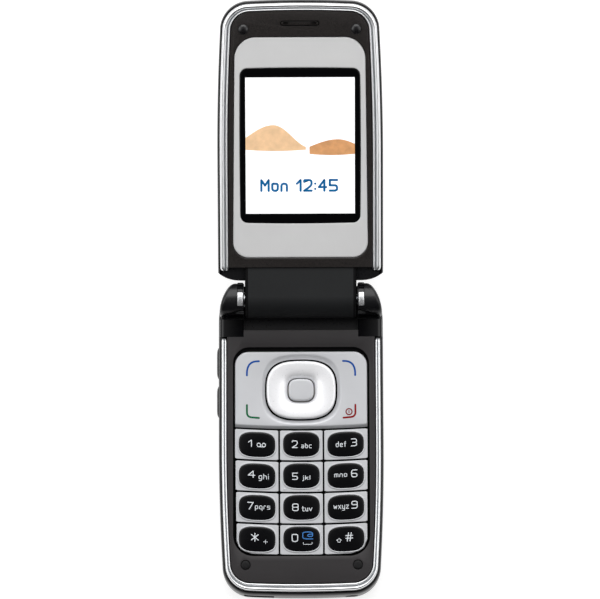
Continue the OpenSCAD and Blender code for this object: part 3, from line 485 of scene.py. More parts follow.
# satin moulded ABS, warm dark grey: even, with a faint spark-eroded texture
deck_abs = surface("satin_abs_deck_grey", "#302e2f", 0.4, 0.16, 0.0035, tint=0.03, specular=0.2)
# piano-black ABS: deep and mirror-like, with only the softest waves
gloss_black = surface("gloss_abs_black", "#08080a", 0.09, 1.2, 0.0012, spread=0.02, patch_mm=14,
                      specular=0.3)


def end_line(inset):
    """The length to which an outline at this inset reaches: the frame and the deck stay further back at
    the end than at the sides, the more so the further in they lie."""
    return BASE_LEN - 0.12 - 0.675 * min(inset, 1.6) - 0.32 * max(inset - 1.6, 0)


deck_edge = [(11.3, 0.0), (12.75, 0.0), (12.9, 0.04), (12.98, 0.12), (DECK_TOP, 0.25)]
deck = piece("front_cover", layers(
    lambda i: phone_outline(end_line(DECK_INSET), DECK_START + i, DECK_INSET + i), deck_edge), deck_abs)
WELL_S, WELL_W, WELL_H, WELL_R = 42.38, KEY_W + 2 * WELL_GAP, 58.65, np.array([5.7, 5.7, 4.6, 4.6])


def well_line(grow, steps=12):
    """The outline of the key well, wider all round by this much."""
    return rounded(WELL_W + 2 * grow, WELL_H + 2 * grow, WELL_R + grow, 0, WELL_S, steps)


well_levels = [(11.75, 0), (12.82, 0), (12.95, 0.06), (13.01, 0.18), (14, 0.2)]
cut(deck, slab(rounded(KEY_W + 0.5, 57.9, WELL_R, 0, 42.9, steps=12), 10, 12.5),
    layers(well_line, well_levels),
    block((EAR_X0 + 0.15, 7, 11), (25, 10.05, 14)), block((-25, 7, 11), (-EAR_X0 - 0.15, 10.05, 14)),
    *[skin([at(rounded(2.8 + 2 * g, 2.8 + 2 * g, 1.4 + g, x, PAD_S), z)
            for z, g in ((12.25, 0), (12.9, 0), (13.01, 0.12), (14, 0.13))]) for x in (-PAD_X, PAD_X)])
# painted shade: the ledge and walls of the well round the keys are made black, for the shade in that gap
finish_where(deck, silicone_and_shade, lambda x, y, z: (
    (np.abs(x) < 19.4) & (z < 12.9) & (abs(HINGE_Y - WELL_S - y) < 29.6)))
flange = phone_outline(end_line(1.35), 10.3, 1.4)
flank_s = np.linspace(FLANK_START, 10.0, 9)
flanks = []
for side in (-1, 1):
    near, top = EAR_X0 + 0.1, 12.8
    rows = []
    for s in flank_s:
        far = side_x(s, BASE_LEN, 0.3)
        turn = np.radians(np.linspace(0, 90, 7))
        x = np.concatenate([[near, near, near + 0.3], far - 1.3 + 1.3 * np.sin(turn), [far]])
        z = np.concatenate([[11.3, top - 0.3, top], top - 1.1 + 1.1 * np.cos(turn), [11.3]])
        rows.append(np.column_stack([side * x, np.full(len(x), s), z]))
    flanks.append(piece("flank", skin(rows), gloss_black))
rim = piece("flange", slab(flange, 11.3, 11.78), deck_abs)
cut(rim, slab(well_line(0, steps=8), 11, 12))
deck = fused(deck, rim, *flanks)
fit_to("base", "deck_plastic", deck)


# Deck pads ----------------------------------------------------------------
# Two small rubber discs in round recesses. They cover the lower screws.
def turned(profile, x, y, steps=40):
    """A profile of (radius, height) turned round an upright axis at (x, y), closed at both ends."""
    return skin([at(circle(r, x, y, steps), z) for r, z in profile])


# moulded rubber, nearly black: matt with a soft sheen
rubber = surface("moulded_rubber_dark", "#0e0e0f", 0.5, 0.3, 0.004, specular=0.2)
pad = [(1.2, 12.25), (1.25, 12.4), (1.25, 12.8), (1.17, 12.9), (1.05, 12.95), (0.5, 12.96), (0.05, 12.96)]
pads = piece("deck_pads", together(turned(pad, -PAD_X, PAD_S), turned(pad, PAD_X, PAD_S)), rubber)
fit_to("base", "dark_rubber", pads)


# Chrome frame of the base -------------------------------------------------
# A U of plated plastic round the deck: two half-round beads with a fine dark
# groove between them. It snaps into the joint between shell and front cover.
CHROME_START, CHROME_TOP, END_ROUND, BEAD_STEPS, GROOVE_HALF, HALF_WIDTH = 10.4, 13.15, 1.1, 13, 0.1, 21.5


def bead(middle, half, low, high):
    """Half an ellipse over a strip of the frame, as (inset, height)."""
    turn = np.radians(np.linspace(0, 180, BEAD_STEPS))
    return np.stack([middle - half * np.cos(turn), low + (high - low) * np.sin(turn)], 1)


def sides_drawn(line, move):
    """The outline squeezed across, so that each side moves in by this much."""
    return line * [1 - move / HALF_WIDTH, 1]


def frame_bar(line_end, start, outer, groove, inner, foot, low, high, side=0.0):
    """The frame's section, a foot under two beads that meet at a groove, carried round an outline whose
    length goes by its inset. The sides draw in by the share side more than the ends do. Towards each
    end it sinks and narrows along a quarter circle."""
    middle_1, half_1 = (outer + groove) / 2, (groove - outer) / 2 - GROOVE_HALF
    middle_2, half_2 = (groove + inner) / 2, (inner - groove) / 2 - GROOVE_HALF
    section = np.concatenate([[(outer, foot)], bead(middle_1, half_1, low, high),
                              bead(middle_2, half_2, low, high), [(inner, foot)]])
    rails = np.stack([at(sides_drawn(phone_outline(line_end(inset), start, inset), side * inset), z)
                      for inset, z in section])
    ease = np.sqrt(1 - (1 - np.minimum(1, 0.15 + (rails[..., 1] - start) / END_ROUND)) ** 2)
    rails[..., 2] = foot + (rails[..., 2] - foot) * ease
    across_middle = rails[..., 0].mean(0)
    rails[..., 0] = across_middle + (rails[..., 0] - across_middle) * (0.35 + 0.65 * ease)
    return skin(rails.transpose(1, 0, 2))


def grey_groove(bar):
    """Paints the floor of the groove a dull grey, as painted shade: of each ring of faces, the one between
    the two beads.
    """
    bar.data.materials.append(groove_shade_paint)
    of_ring = np.arange(len(bar.data.polygons)) % (2 * BEAD_STEPS + 2)
    bar.data.polygons.foreach_set("material_index", (of_ring == BEAD_STEPS).astype(np.int32))


# chrome plate over plastic: bright, and blurred like a soft mirror
chrome = surface("bright_chrome_plate", "#f2f3f4", 0.3, 2.0, 0.0, spread=0.0, tint=0.01, Metallic=1.0)
# the groove in the plate: a dull grey that is painted shade, standing in for the shade in the groove
groove_shade_paint = surface("painted_groove_shade", "#909396", 0.5, 2.0, 0.0, tint=0.01, Metallic=0.2)
BASE_CHROME = (0.8, 1.6, 2.37)  # insets of the outer edge, the groove and the inner edge
chrome_base = piece("base_chrome_frame",
                    frame_bar(end_line, CHROME_START, *BASE_CHROME, 11.83, 12.45, CHROME_TOP),
                    chrome, crease=50)
grey_groove(chrome_base)
fit_to("base", "chrome_trim", chrome_base)


# Hinge ears and their trims -----------------------------------------------
# The two ends of the hinge, which belong to the base. Each is a round boss of
# the shell whose outer face curves in, with a small crowned chrome trim on top.
EAR_S = 4.7
turn = np.radians(np.linspace(0, 180, 33))
ear_round = np.stack([EAR_S * np.cos(turn), HINGE_Z + EAR_S * np.sin(turn)], 1)
ear_line = np.concatenate([ear_round, [(-EAR_S, 13.6), (-EAR_S, 11.9), (EAR_S, 11.9), (EAR_S, 13.6)]])


def ear_section(share):
    """The ear's outline drawn in by a share of its size, as (from the axis, height)."""
    return (ear_line - [0, HINGE_Z]) * share + [0, HINGE_Z]


def ear_shape(side):
    """Sections from the barrel's side outwards: straight to a quarter-round edge, then shrinking to
    the middle of the outer face, which follows the curved side of the phone."""
    edge = 1.1
    sweep = np.radians(np.linspace(0, 90, 8))
    steps = [(1.0, None)] + [(1 - edge * (1 - np.cos(a)) / EAR_S, edge * (1 - np.sin(a))) for a in sweep]
    steps += [(share * (1 - edge / EAR_S), 0.0) for share in (0.85, 0.65, 0.45, 0.25, 0.08)]
    rings = []
    for share, back in steps:
        line = ear_section(share)
        x = np.full(len(line), EAR_X0) if back is None else side_x(line[:, 0], BASE_LEN, 0.28) - back
        rings.append(np.column_stack([side * x, line]))
    return skin(rings)


seam_x = np.linspace(15.5, 24.5, 30)
seam_s = 3.2 + 1.5 * (np.maximum(0, seam_x - 16.3) / 6.3) ** 1.3
SEAM_W, SHAFT_REACH = 0.14, 20.2
seam = np.concatenate([np.stack([seam_x, seam_s - SEAM_W / 2], 1),
                       np.stack([seam_x, seam_s + SEAM_W / 2], 1)[::-1]])
TRIM_X, TRIM_S, TRIM_FLOOR = (16.2, 17.8), (-1.6, 2.1), 19.6
for side, name in ((-1, "hinge_ear_left"), (1, "hinge_ear_right")):
    ear = piece(name, ear_shape(side), graphite)
    low, high = sorted((side * TRIM_X[0], side * TRIM_X[1]))
    near, far = sorted((side * (EAR_X0 - 1), side * SHAFT_REACH))
    cut(ear, block((low - 0.04, TRIM_S[0] - 3.4, TRIM_FLOOR - 1.8), (high + 0.04, TRIM_S[1] + 0.04, 21.5)),
        block((near, -1.5, 14.5), (far, 1.5, 17.5)))
    cut(ear, slab(seam * [side, 1], 14.5, 21.5))
    finish_where(ear, gloss_black, lambda x, y, z: HINGE_Y - y > np.interp(np.abs(x), seam_x, seam_s) - 0.01)
    fit_to("base", "graphite_plastic", ear)

# satin chrome: the same plate over a blasted mould
satin_chrome = surface("satin_chrome_plate", "#cfd0d2", 0.3, 0.3, 0.0008, tint=0.03, Metallic=0.7)
trims = []
for side in (-1, 1):
    middle, half = side * (TRIM_X[0] + TRIM_X[1]) / 2, (TRIM_X[1] - TRIM_X[0]) / 2
    across = np.linspace(-1, 1, 11)
    crown = 0.1 * (1 - across ** 2) ** 0.5
    for finish, begin, end in ((satin_chrome, *TRIM_S),
                               (gloss_black, TRIM_S[0] - 3.35, TRIM_S[0] - 0.05)):
        rows = []
        for s in np.linspace(begin, end, 12):
            top = HINGE_Z + np.sqrt(max(EAR_S ** 2 - s ** 2, 0.2)) - 0.28 + crown
            x = np.concatenate([[middle - half], middle + half * across, [middle + half]])
            z = np.concatenate([[top[0] - 0.6], top, [top[-1] - 0.6]])
            rows.append(np.column_stack([x, np.full(len(x), s), z]))
        trims.append(piece("ear_trims" if not trims else "trim", skin(rows), finish))
trim_set = fused(*trims)
fit_to("base", "chrome_trim", trim_set)


# Volume rocker ------------------------------------------------------------
# One moulded key on the left side with two low bumps. It tips about its middle.
ROCKER_S, ROCKER_HALF, ROCKER_Z = 22.5, 10.4, 7.6
rocker_s = np.linspace(-ROCKER_HALF, ROCKER_HALF, 61)
swell = np.maximum(0, 1 - np.abs((np.abs(rocker_s) - 5.5) / 4.65) ** 7)
end_round = np.sqrt(np.maximum(0, 1 - np.maximum(0, (np.abs(rocker_s) - 9.6) / 0.8) ** 2))
sections = []
for s, bump, ease in zip(rocker_s, swell, end_round):
    out = 22.75 + 0.4 * ease + 0.65 * bump
    turn = np.radians(np.linspace(-90, 90, 13))
    x = np.concatenate([[21.4], out - 0.9 + 0.9 * np.cos(turn) ** 0.6, [21.4]])
    z = ROCKER_Z + np.concatenate([[-1.7], 1.7 * np.sin(turn), [1.7]]) * (0.75 + 0.25 * ease)
    sections.append(np.column_stack([-x, np.full(len(x), ROCKER_S + s), z]))
rocker = piece("volume_rocker", skin(sections), graphite)
fit_to("volume_rocker", "graphite_plastic", rocker)


# Function plate -----------------------------------------------------------
# One silver-painted plate over the soft keys, the call key and the end key.
# It dips round the four-way ring and is chamfered along its lower edge.
PLATE_TOP, NAVI_S, ROWS_TOP, ROW_PITCH, KEYPAD_END, ROW_BOW = 14.2, 25.1, 36.0, 8.85, 71.4, 0.6


def bow(x):
    """How far a row's edges bow towards the user at x: a parabola over the key field."""
    return ROW_BOW * (1 - (2 * x / KEY_W) ** 2)


def squircle(angles, w, h, n, x=0.0, y=0.0):
    """The superellipse |2x/w|^n + |2y/h|^n = 1 in the given directions from its middle."""
    c, s = np.cos(angles), np.sin(angles)
    r = (np.abs(2 * c / w) ** n + np.abs(2 * s / h) ** n) ** (-1 / n)
    return np.stack([x + r * c, y + r * s], 1)


def drawn_in(outline, distance):
    """A counter-clockwise outline moved inwards by one distance, or one for each side, at mitred corners."""
    sides = np.roll(outline, -1, 0) - outline
    normal = np.stack([-sides[:, 1], sides[:, 0]], 1) / np.linalg.norm(sides, axis=1, keepdims=True)
    far = np.broadcast_to(distance, len(outline))
    before, far_before = np.roll(normal, 1, 0), np.roll(far, 1)
    cross = before[:, 0] * normal[:, 1] - before[:, 1] * normal[:, 0]
    mean = before * far_before[:, None] + normal * far[:, None]
    mean /= 1 + (before * normal).sum(1, keepdims=True)
    flat = np.abs(cross) < 0.02
    solved = np.stack([far_before * normal[:, 1] - far * before[:, 1],
                       far * before[:, 0] - far_before * normal[:, 0]], 1) / np.where(flat, 1, cross)[:, None]
    return outline + np.where(flat[:, None], mean, solved)


def seen_from(outline, middle, angles):
    """Where rays from a point inside cut the outline, in the given directions."""
    start, ends = outline - middle, np.roll(outline, -1, 0) - middle
    ray = np.stack([np.cos(angles), np.sin(angles)], 1)[:, None]
    side = (ends - start)[None]
    cross = ray[..., 0] * side[..., 1] - ray[..., 1] * side[..., 0]
    cross = np.where(np.abs(cross) < 1e-12, 1e-12, cross)
    along = (start[None, :, 0] * side[..., 1] - start[None, :, 1] * side[..., 0]) / cross
    share = (start[None, :, 0] * ray[..., 1] - start[None, :, 1] * ray[..., 0]) / cross
    hit = np.where((share > -1e-9) & (share < 1 + 1e-9) & (along > 0), along, np.inf).min(1)
    return middle + hit[:, None] * ray[:, 0]


def directions(outline, middle, steps=240):
    """Evenly spread directions from a point, together with those of the outline's own corners."""
    corner = np.arctan2(*(outline - middle).T[::-1])
    return np.unique(np.round(np.concatenate([corner, np.linspace(-np.pi, np.pi, steps, endpoint=False)]), 9))


def counter_clockwise(outline):
    """The outline, turned round if it runs clockwise."""
    x, y = outline.T
    return outline if (x * np.roll(y, -1) - np.roll(x, -1) * y).sum() > 0 else outline[::-1]


# silver lacquer on polycarbonate: matt, with fine metal flake
silver_lacquer = surface("silver_lacquer", "#bdbec1", 0.44, 0.14, 0.0022, tint=0.025, Metallic=0.25)

top_corner = np.radians(np.linspace(0, 90, 13))
corner_x, corner_s = KEY_W / 2 - 3.9, PLATE_TOP + 3.9
lower_x = np.linspace(-KEY_W / 2, KEY_W / 2, 41)
plate_line = np.concatenate([
    np.stack([corner_x + 3.9 * np.cos(top_corner), corner_s - 3.9 * np.sin(top_corner)], 1),
    np.stack([-corner_x - 3.9 * np.sin(top_corner), corner_s - 3.9 * np.cos(top_corner)], 1),
    np.stack([lower_x, ROWS_TOP - 0.53 + bow(lower_x)], 1)])
plate_line = counter_clockwise(plate_line)
middle = np.array([0, NAVI_S])
edge_middle = (plate_line + np.roll(plate_line, -1, 0)) / 2
is_lower = (edge_middle[:, 1] > 35.3) & (np.abs(np.roll(plate_line, -1, 0) - plate_line)[:, 1] < 0.2)
ways = directions(plate_line, middle)


def plate_ring(inset, lower_inset, z):
    """The plate's outline, moved in by one inset and along the lower edge by another."""
    line = drawn_in(plate_line, np.where(is_lower, lower_inset, inset))
    return at(seen_from(line, middle, ways), z)


PLATE_Z, PLATE_TOP_Z, DISH = 11.25, 12.85, 0.95
dish_out = squircle(ways, 22.7, 20.1, 3.0, 0, NAVI_S - 0.2)
dish_in = squircle(ways, 19.9, 16.75, 2.8, 0, NAVI_S)
rings = [at(dish_in, PLATE_Z), plate_ring(0, 0, PLATE_Z), plate_ring(0, 0, PLATE_TOP_Z - 0.8),
         plate_ring(0.04, 0.3, PLATE_TOP_Z - 0.48), plate_ring(0.12, 0.6, PLATE_TOP_Z - 0.14),
         plate_ring(0.24, 0.74, PLATE_TOP_Z - 0.02), plate_ring(0.5, 0.95, PLATE_TOP_Z)]
for share in np.linspace(0, 1, 12):
    ease = share ** 2 * (3 - 2 * share)
    rings.append(at(dish_out + (dish_in - dish_out) * share, PLATE_TOP_Z - DISH * ease))
plate = piece("function_plate", skin(rings, loop=True), silver_lacquer, crease=40)


def rounded_path(points, radius):
    """A path through the points, whose corners become parabolas that begin a radius before each corner,
    or at the middle of a shorter side."""
    points = np.asarray(points, float)
    if len(points) < 3:
        return points
    run = np.diff(points, axis=0)
    length = np.linalg.norm(run, axis=1, keepdims=True)
    reach = np.minimum(radius, np.minimum(length[:-1], length[1:]) * 0.499)[:, None]
    corner, way = points[1:-1, None], (run / length)[:, None]
    t = np.linspace(0, 1, 7)[None, :, None]
    bends = ((1 - t) ** 2 * (corner - reach * way[:-1]) + 2 * t * (1 - t) * corner
             + t ** 2 * (corner + reach * way[1:]))
    return np.concatenate([points[:1], bends.reshape(-1, 2), points[-1:]])


def stroke(path, width):
    """The outline of a pen stroke along a path: half a width to both sides, with round ends."""
    path = np.asarray(path, float)
    run = np.gradient(path, axis=0) if len(path) > 1 else np.array([[1.0, 0.0]])
    run /= np.linalg.norm(run, axis=1, keepdims=True)
    side = np.stack([-run[:, 1], run[:, 0]], 1)
    turn = np.radians(np.linspace(0, 180, 9))[1:-1, None]
    last = path[-1] + width / 2 * (np.cos(turn) * side[-1] + np.sin(turn) * run[-1])
    first = path[0] - width / 2 * (np.cos(turn) * side[0] + np.sin(turn) * run[0])
    return counter_clockwise(np.concatenate(
        [path + side * width / 2, last, (path - side * width / 2)[::-1], first]))


INK_SUNK, INK_PROUD = 0.12, 0.02


def printed(outline, height):
    """A thin layer of ink in an outline, on a surface whose height is a number or a function of the place."""
    top = height(outline) if callable(height) else height
    return slab(outline, top - INK_SUNK, top + INK_PROUD)


# pad-printed inks: strong colours with little gloss
blue_ink, green_ink, red_ink = [
    surface("printed_ink_" + name, colour, 0.45, 0.2, 0.0005, specular=0.15)
    for name, colour in (("blue", "#0a4590"), ("green", "#005a34"), ("red", "#7e0a0e"))]
INK_W = 0.53
angles = np.linspace(0, 2 * np.pi, 180, endpoint=False)
soft_mark = [11.85, 20.95] + [1, -1] * squircle(np.radians(np.linspace(0, 90, 24)), 6.8, 8.0, 2.7)
call_mark = rounded_path([(-15.25, 29.35), (-15.25, 32.7), (-11.9, 33.0)], 1.3)
power_ring = [13.45, 31.3] + [0.84, -0.84] * np.stack([np.cos(angles), np.sin(angles)], 1)
marks = [piece("mark", printed(stroke(path, width), PLATE_TOP_Z), ink) for path, width, ink in (
    (soft_mark, INK_W, blue_ink), (soft_mark * [-1, 1], INK_W, blue_ink),
    (call_mark, INK_W, green_ink), (call_mark * [-1, 1], INK_W, red_ink),
    *[(power_ring[np.arange(first, first + 46) % 180], 0.34, red_ink) for first in range(0, 180, 45)],
    (np.array([(13.45, 30.95), (13.45, 31.6)]), 0.26, red_ink))]
# painted shade: the plate's walls below its top are black, for the shade in the gaps round it
finish_where(plate, silicone_and_shade, lambda x, y, z: z < PLATE_TOP_Z - 0.85)
plate = fused(plate, *marks)
fit_to("function_plate", "silver_plate", plate)


# Four-way ring and centre key ---------------------------------------------
# The ring falls away towards its middle like a saucer and rocks to four sides.
# The centre key is a separate cap. Both are moulded and metallised silver.
# vacuum-metallised silver: brighter and smoother than the plate
silver_metal = surface("satin_metallised_silver", "#ececee", 0.3, 0.3, 0.0004, spread=0.03, tint=0.01,
                       Metallic=0.25)
RING_TOP, RING_FALL, RING_FOOT = 13.3, 1.56, 11.66


def ring_out(inset):
    """The ring's outer line, moved in by an inset."""
    return squircle(angles, 19.45 - 2 * inset, 16.35 - 2 * inset, 2.8, 0, NAVI_S)


def cap_line(inset):
    """The outline of the centre key, moved in by an inset."""
    return squircle(angles[::2], 7.1 - 2 * inset, 6.25 - 2 * inset, 3.2, 0, NAVI_S)


ring_in = squircle(angles, 7.6, 6.75, 3.2, 0, NAVI_S)
rings = [at(ring_in, RING_FOOT)] + [at(ring_out(inset), z) for z, inset in (
    (RING_FOOT, 0), (RING_TOP - 0.55, 0), (RING_TOP - 0.3, 0.06), (RING_TOP - 0.12, 0.2),
    (RING_TOP - 0.01, 0.45))]
for t in np.linspace(0.97, 0, 22):
    line = ring_in + (ring_out(0.6) - ring_in) * t
    rings.append(at(line, RING_TOP - RING_FALL * (0.4 * (1 - t) ** 2 + 0.6 * (1 - t) ** 6)))
ring = piece("navi_ring", skin(rings, loop=True), silver_metal, crease=45)
# painted shade: the ring's outer wall below its top is black, for the shade in the gap round it
finish_where(ring, silicone_and_shade, lambda x, y, z: (z < 12.2) & (np.hypot(x, y + NAVI_S - HINGE_Y) > 7.0))
fit_to("navi_ring", "silver_key", ring)

centre = piece("centre_key", layers(cap_line, (
    (11.1, 0), (12.55, 0), (12.75, 0.07), (12.88, 0.22), (12.93, 0.45), (12.94, 0.7), (12.95, 1.4),
    (12.95, 2.9))), silver_lacquer)
fit_to("centre_key", "silver_key", centre)


# Number keys --------------------------------------------------------------
# Twelve silver caps, each with a raised collar round a glossy black pad that
# carries its legend in white. The rows bow, and the pads follow them.
CAP_Z, CAP_TOP, COLLAR_TOP, KEY_GAP = 11.1, 12.75, 13.0, 0.48
OVAL_W, OVAL_H, OVAL_N = 10.2, 6.9, 3.0
BOLD_PEN, LETTER_PEN, FINE_PEN = 0.255, 0.19, 0.15
LEGENDS = {
    "key_1": [("1", -2.52, -0.72, -1.43, 1.32)],
    "key_2": [("2", -2.66, -1.03, -0.99, 1.11), ("abc", 0.00, -1.09, 2.94, 0.34)],
    "key_3": [("def", -2.76, -0.72, 0.13, 0.84), ("3", 1.46, -0.69, 3.21, 1.51)],
    "key_4": [("4", -2.60, -0.56, -0.51, 1.48), ("ghi", 0.43, -1.33, 3.27, 0.69)],
    "key_5": [("5", -2.59, -1.14, -0.99, 0.90), ("jkl", 0.24, -1.46, 2.49, 0.15)],
    "key_6": [("mno", -3.24, -0.34, 0.39, 0.69), ("6", 1.51, -0.56, 3.29, 1.62)],
    "key_7": [("7", -2.73, -0.63, -0.96, 1.51), ("pqrs", -0.62, -0.90, 3.66, 0.63)],
    "key_8": [("8", -2.64, -1.03, -0.81, 1.11), ("tuv", 0.05, -1.09, 3.02, 0.37)],
    "key_9": [("wxyz", -3.50, -0.90, 0.84, 0.71), ("9", 1.51, -0.50, 3.29, 1.70)],
    "key_star": [("*", -1.73, -0.73, 0.44, 1.76), ("+", 1.70, -1.26, 2.92, -0.05)],
    "key_0": [("0", -2.80, -0.79, -0.99, 1.41), ("_", 0.37, -1.56, 2.98, -0.90), ("@", 0.2, -0.1, 3.2, 2.1)],
    "key_hash": [("^", -2.76, -0.92, -1.19, 0.27), ("#", -0.20, -0.73, 1.97, 1.81)],
}
# Each character as pen strokes between grid points, across and then up. The base
# line is at 2, small letters reach 6, capitals and digits 8, and tails 0.
STROKES = {
    "0": "28 48 42 02 08 28", "1": "06 28/28 22", "2": "07 08 48 45 02/02 42",
    "3": "08 48 45 15/15 45 42 02", "4": "38 04/04 44/38 32", "5": "48 08/08 05/05 45 42 02",
    "6": "48 08 02 42 45 05", "7": "08 48/48 12", "8": "25 05 08 48 45 25/25 05 02 42 45 25",
    "9": "02 42 48 08 05 45", "*": "28 22/07 43/47 03", "#": "12 28/32 48/06 56/04 54",
    "+": "22 26/04 44", "_": "01 00 40 41", "^": "28 05/05 15/15 12 32 35/35 45/45 28",
    "@": "42 02 08 48 44 24 26 46", ":": "03/06", "M": "02 08/08 25/25 48/48 42",
    "a": "06 36 32 02 04 34", "b": "08 02 32 36 06", "c": "36 06 02 32", "d": "38 32 02 06 36",
    "e": "04 34 36 06 02 32", "f": "28 18 12/06 26", "g": "36 06 02 32/36 30 00", "h": "08 02/06 36 32",
    "i": "06 02/08", "j": "16 10 00/18", "k": "08 02/36 04/14 32", "l": "08 02",
    "m": "02 06 26 22/26 46 42", "n": "02 06 36 32", "o": "16 36 32 02 06 16", "p": "00 06 36 32 02",
    "q": "30 36 06 02 32", "r": "02 06 26", "s": "36 06 04 34 32 02", "t": "18 12 32/06 36",
    "u": "06 02 32/36 32", "v": "06 22/22 46", "w": "06 12/12 25/25 32/32 46", "x": "06 32/02 36",
    "y": "06 02 32/36 30 00", "z": "06 36/36 02/02 32", " ": "",
}
LETTER_GAP, SPACE_W, CORNER_GRID = 2.0, 1.5, 1.7
# high-gloss black lacquer on the pads
pad_black = surface("gloss_lacquer_black", "#0b0b0d", 0.14, 0.8, 0.0008, spread=0.02, specular=0.25)
# white legend ink, a little grey where it lies over black
legend_white = surface("legend_ink_white", "#cfd3d7", 0.45, 0.2, 0.0004, tint=0.03)
legend_blue = surface("legend_ink_blue", "#2a6db0", 0.45, 0.2, 0.0004, tint=0.03)


def written(text, low, high, pen):
    """The outlines of the pen strokes of a text that fills a box from corner to corner. The strokes run
    over the box less half a pen's width all round."""
    paths, x = [], 0.0
    for sign in text:
        strokes = [np.array([(int(spot[0]), int(spot[1])) for spot in one.split()], float)
                   for one in STROKES[sign].split("/") if one]
        paths += [rounded_path(one, CORNER_GRID) + [x, 0] for one in strokes]
        x += (max(one[:, 0].max() for one in strokes) if strokes else SPACE_W) + LETTER_GAP
    spots = np.concatenate(paths)
    least, most = spots.min(0), spots.max(0)
    low, high = np.asarray(low) + pen / 2, np.asarray(high) - pen / 2
    scale = (high - low) / np.where(most > least, most - least, 1)
    return [stroke(low + (path - least) * scale, pen) for path in paths]


def number_key(name, row, column):
    """A cap between two bowed row edges, with rays from its middle shared by the cap's outline, the
    collar and the pad. The pad's middle is the key's, and its lines bow with the row."""
    x_middle = (column - 1) * KEY_W / 3
    s_middle = 40.5 + row * ROW_PITCH
    top = ROWS_TOP + row * ROW_PITCH
    foot = KEYPAD_END if row == 3 else top + ROW_PITCH - KEY_GAP
    half = KEY_W / 6 - KEY_GAP / 2
    left = x_middle - half - (0.2 - 0.14 * row) * (column == 0)
    right = x_middle + half + (0.2 - 0.08 * row) * (column == 2)
    x = np.linspace(left, right, 25)
    small = 0.2
    ease = np.minimum(1, np.minimum(x - left, right - x) / small)
    corner = small * (1 - np.sqrt(np.maximum(0, 1 - (1 - ease) ** 2)))
    upper = np.stack([x, top + bow(x) + corner], 1)
    if row == 3:
        outer = np.maximum(0, np.abs(x) - (KEY_W / 2 - 5.3))
        lower_s = foot + bow(x) - ROW_BOW - (5.3 - np.sqrt(np.maximum(0.2, 5.3 ** 2 - outer ** 2))) - corner
    else:
        lower_s = foot + bow(x) - corner
    line = counter_clockwise(np.concatenate([upper, np.stack([x, lower_s], 1)[::-1]]))
    middle = np.array([x_middle, s_middle])
    ways = directions(line, middle, 96)

    def follow(points):
        return points + np.stack([0 * points[:, 0], bow(points[:, 0]) - bow(x_middle)], 1)

    def cap_ring(inset, z):
        return at(seen_from(drawn_in(line, inset), middle, ways), z)

    def oval_ring(grow, z):
        return at(follow(squircle(ways, OVAL_W + 2 * grow, OVAL_H + 2 * grow, OVAL_N, *middle)), z)

    rings = [oval_ring(0.03, CAP_Z)] + [cap_ring(inset, z) for inset, z in (
        (0, CAP_Z), (0, CAP_TOP - 0.12), (0.03, CAP_TOP - 0.03), (0.09, CAP_TOP), (0.14, CAP_TOP))]
    rings += [oval_ring(grow, z) for grow, z in (
        (0.48, CAP_TOP), (0.42, CAP_TOP), (0.37, CAP_TOP + 0.04), (0.3, COLLAR_TOP - 0.05),
        (0.24, COLLAR_TOP), (0.12, COLLAR_TOP), (0.05, COLLAR_TOP - 0.05))]
    cap = piece(name, skin(rings, loop=True), silver_lacquer, crease=50)
    # painted shade: each cap's walls below its top are black, for the shade in the gaps between the keys
    finish_where(cap, silicone_and_shade, lambda x, y, z: z < CAP_TOP - 0.13)

    def dome(points):
        """Height of the pad: it falls from the middle with the 2.5th power of the way to its rim."""
        u, v = points[:, 0] - x_middle, points[:, 1] - s_middle - bow(points[:, 0]) + bow(x_middle)
        out = (np.abs(2 * u / OVAL_W) ** OVAL_N + np.abs(2 * v / OVAL_H) ** OVAL_N) ** (1 / OVAL_N)
        return 13.15 - 0.13 * np.minimum(1, out) ** 2.5

    pad_rings = [oval_ring(0, 12.2), oval_ring(0, 12.96)]
    for grow in (-0.05, -0.15, -0.4, -0.9, -1.6, -2.4, -3.2):
        flat = oval_ring(grow, 0)[:, :2]
        pad_rings.append(at(flat, dome(flat) - (0.03 if grow == -0.05 else 0)))
    pieces = [piece("pad", skin(pad_rings), pad_black)]

    for text, u0, v0, u1, v1 in LEGENDS[name]:
        pen = FINE_PEN if text in "^_+" else BOLD_PEN if text in "0123456789*#@" else LETTER_PEN
        lines = [counter_clockwise(follow(middle + sign * [1, -1]))
                 for sign in written(text, (u0, v0), (u1, v1), pen)]
        pieces.append(piece("legend", together(*[printed(sign, dome) for sign in lines]),
                            legend_blue if text == "@" else legend_white))
    if name == "key_1":
        reel_line = 0.5 * np.stack([np.cos(angles[::6]), np.sin(angles[::6])], 1)
        reels = [middle + [x_off, 0.1] + reel_line for x_off in (0.5, 1.9)]
        tape = [reel[part % 30] for reel in reels for part in (np.arange(0, 17), np.arange(15, 32))]
        tape.append(middle + [(0.5, 0.6), (1.2, 0.6), (1.9, 0.6)])
        pieces.append(piece("tape", together(*[printed(stroke(follow(path), 0.24), dome) for path in tape]),
                            legend_white))
    if name == "key_5":
        nib = [(0.34, 12.6), (0.3, CAP_TOP + 0.1), (0.2, CAP_TOP + 0.2), (0.03, CAP_TOP + 0.24)]
        pieces += [piece("nib", turned(nib, x_middle + 4.75 * side, s_middle + 3.75, 24), silver_lacquer)
                   for side in (-1, 1)]
    key = fused(cap, *pieces)
    fit_to(name, "silver_key", key)


for number, name in enumerate(LEGENDS):
    number_key(name, number // 3, number % 3)


# Hinge block --------------------------------------------------------------
# The lid's round barrel, which turns between the two ears and carries the
# spring cartridge. It is a separate moulding, screwed to the lid by its tongue.
OPEN_ANGLE = math.radians(180 - 165)
BARREL_R, BARREL_HALF, BLOCK_END, BLOCK_FACE, BACK_N = 5.1, 15.65, 9.6, 2.0, -8.0
LID_SCREWS = ((-10, 12.8), (10, 12.8))


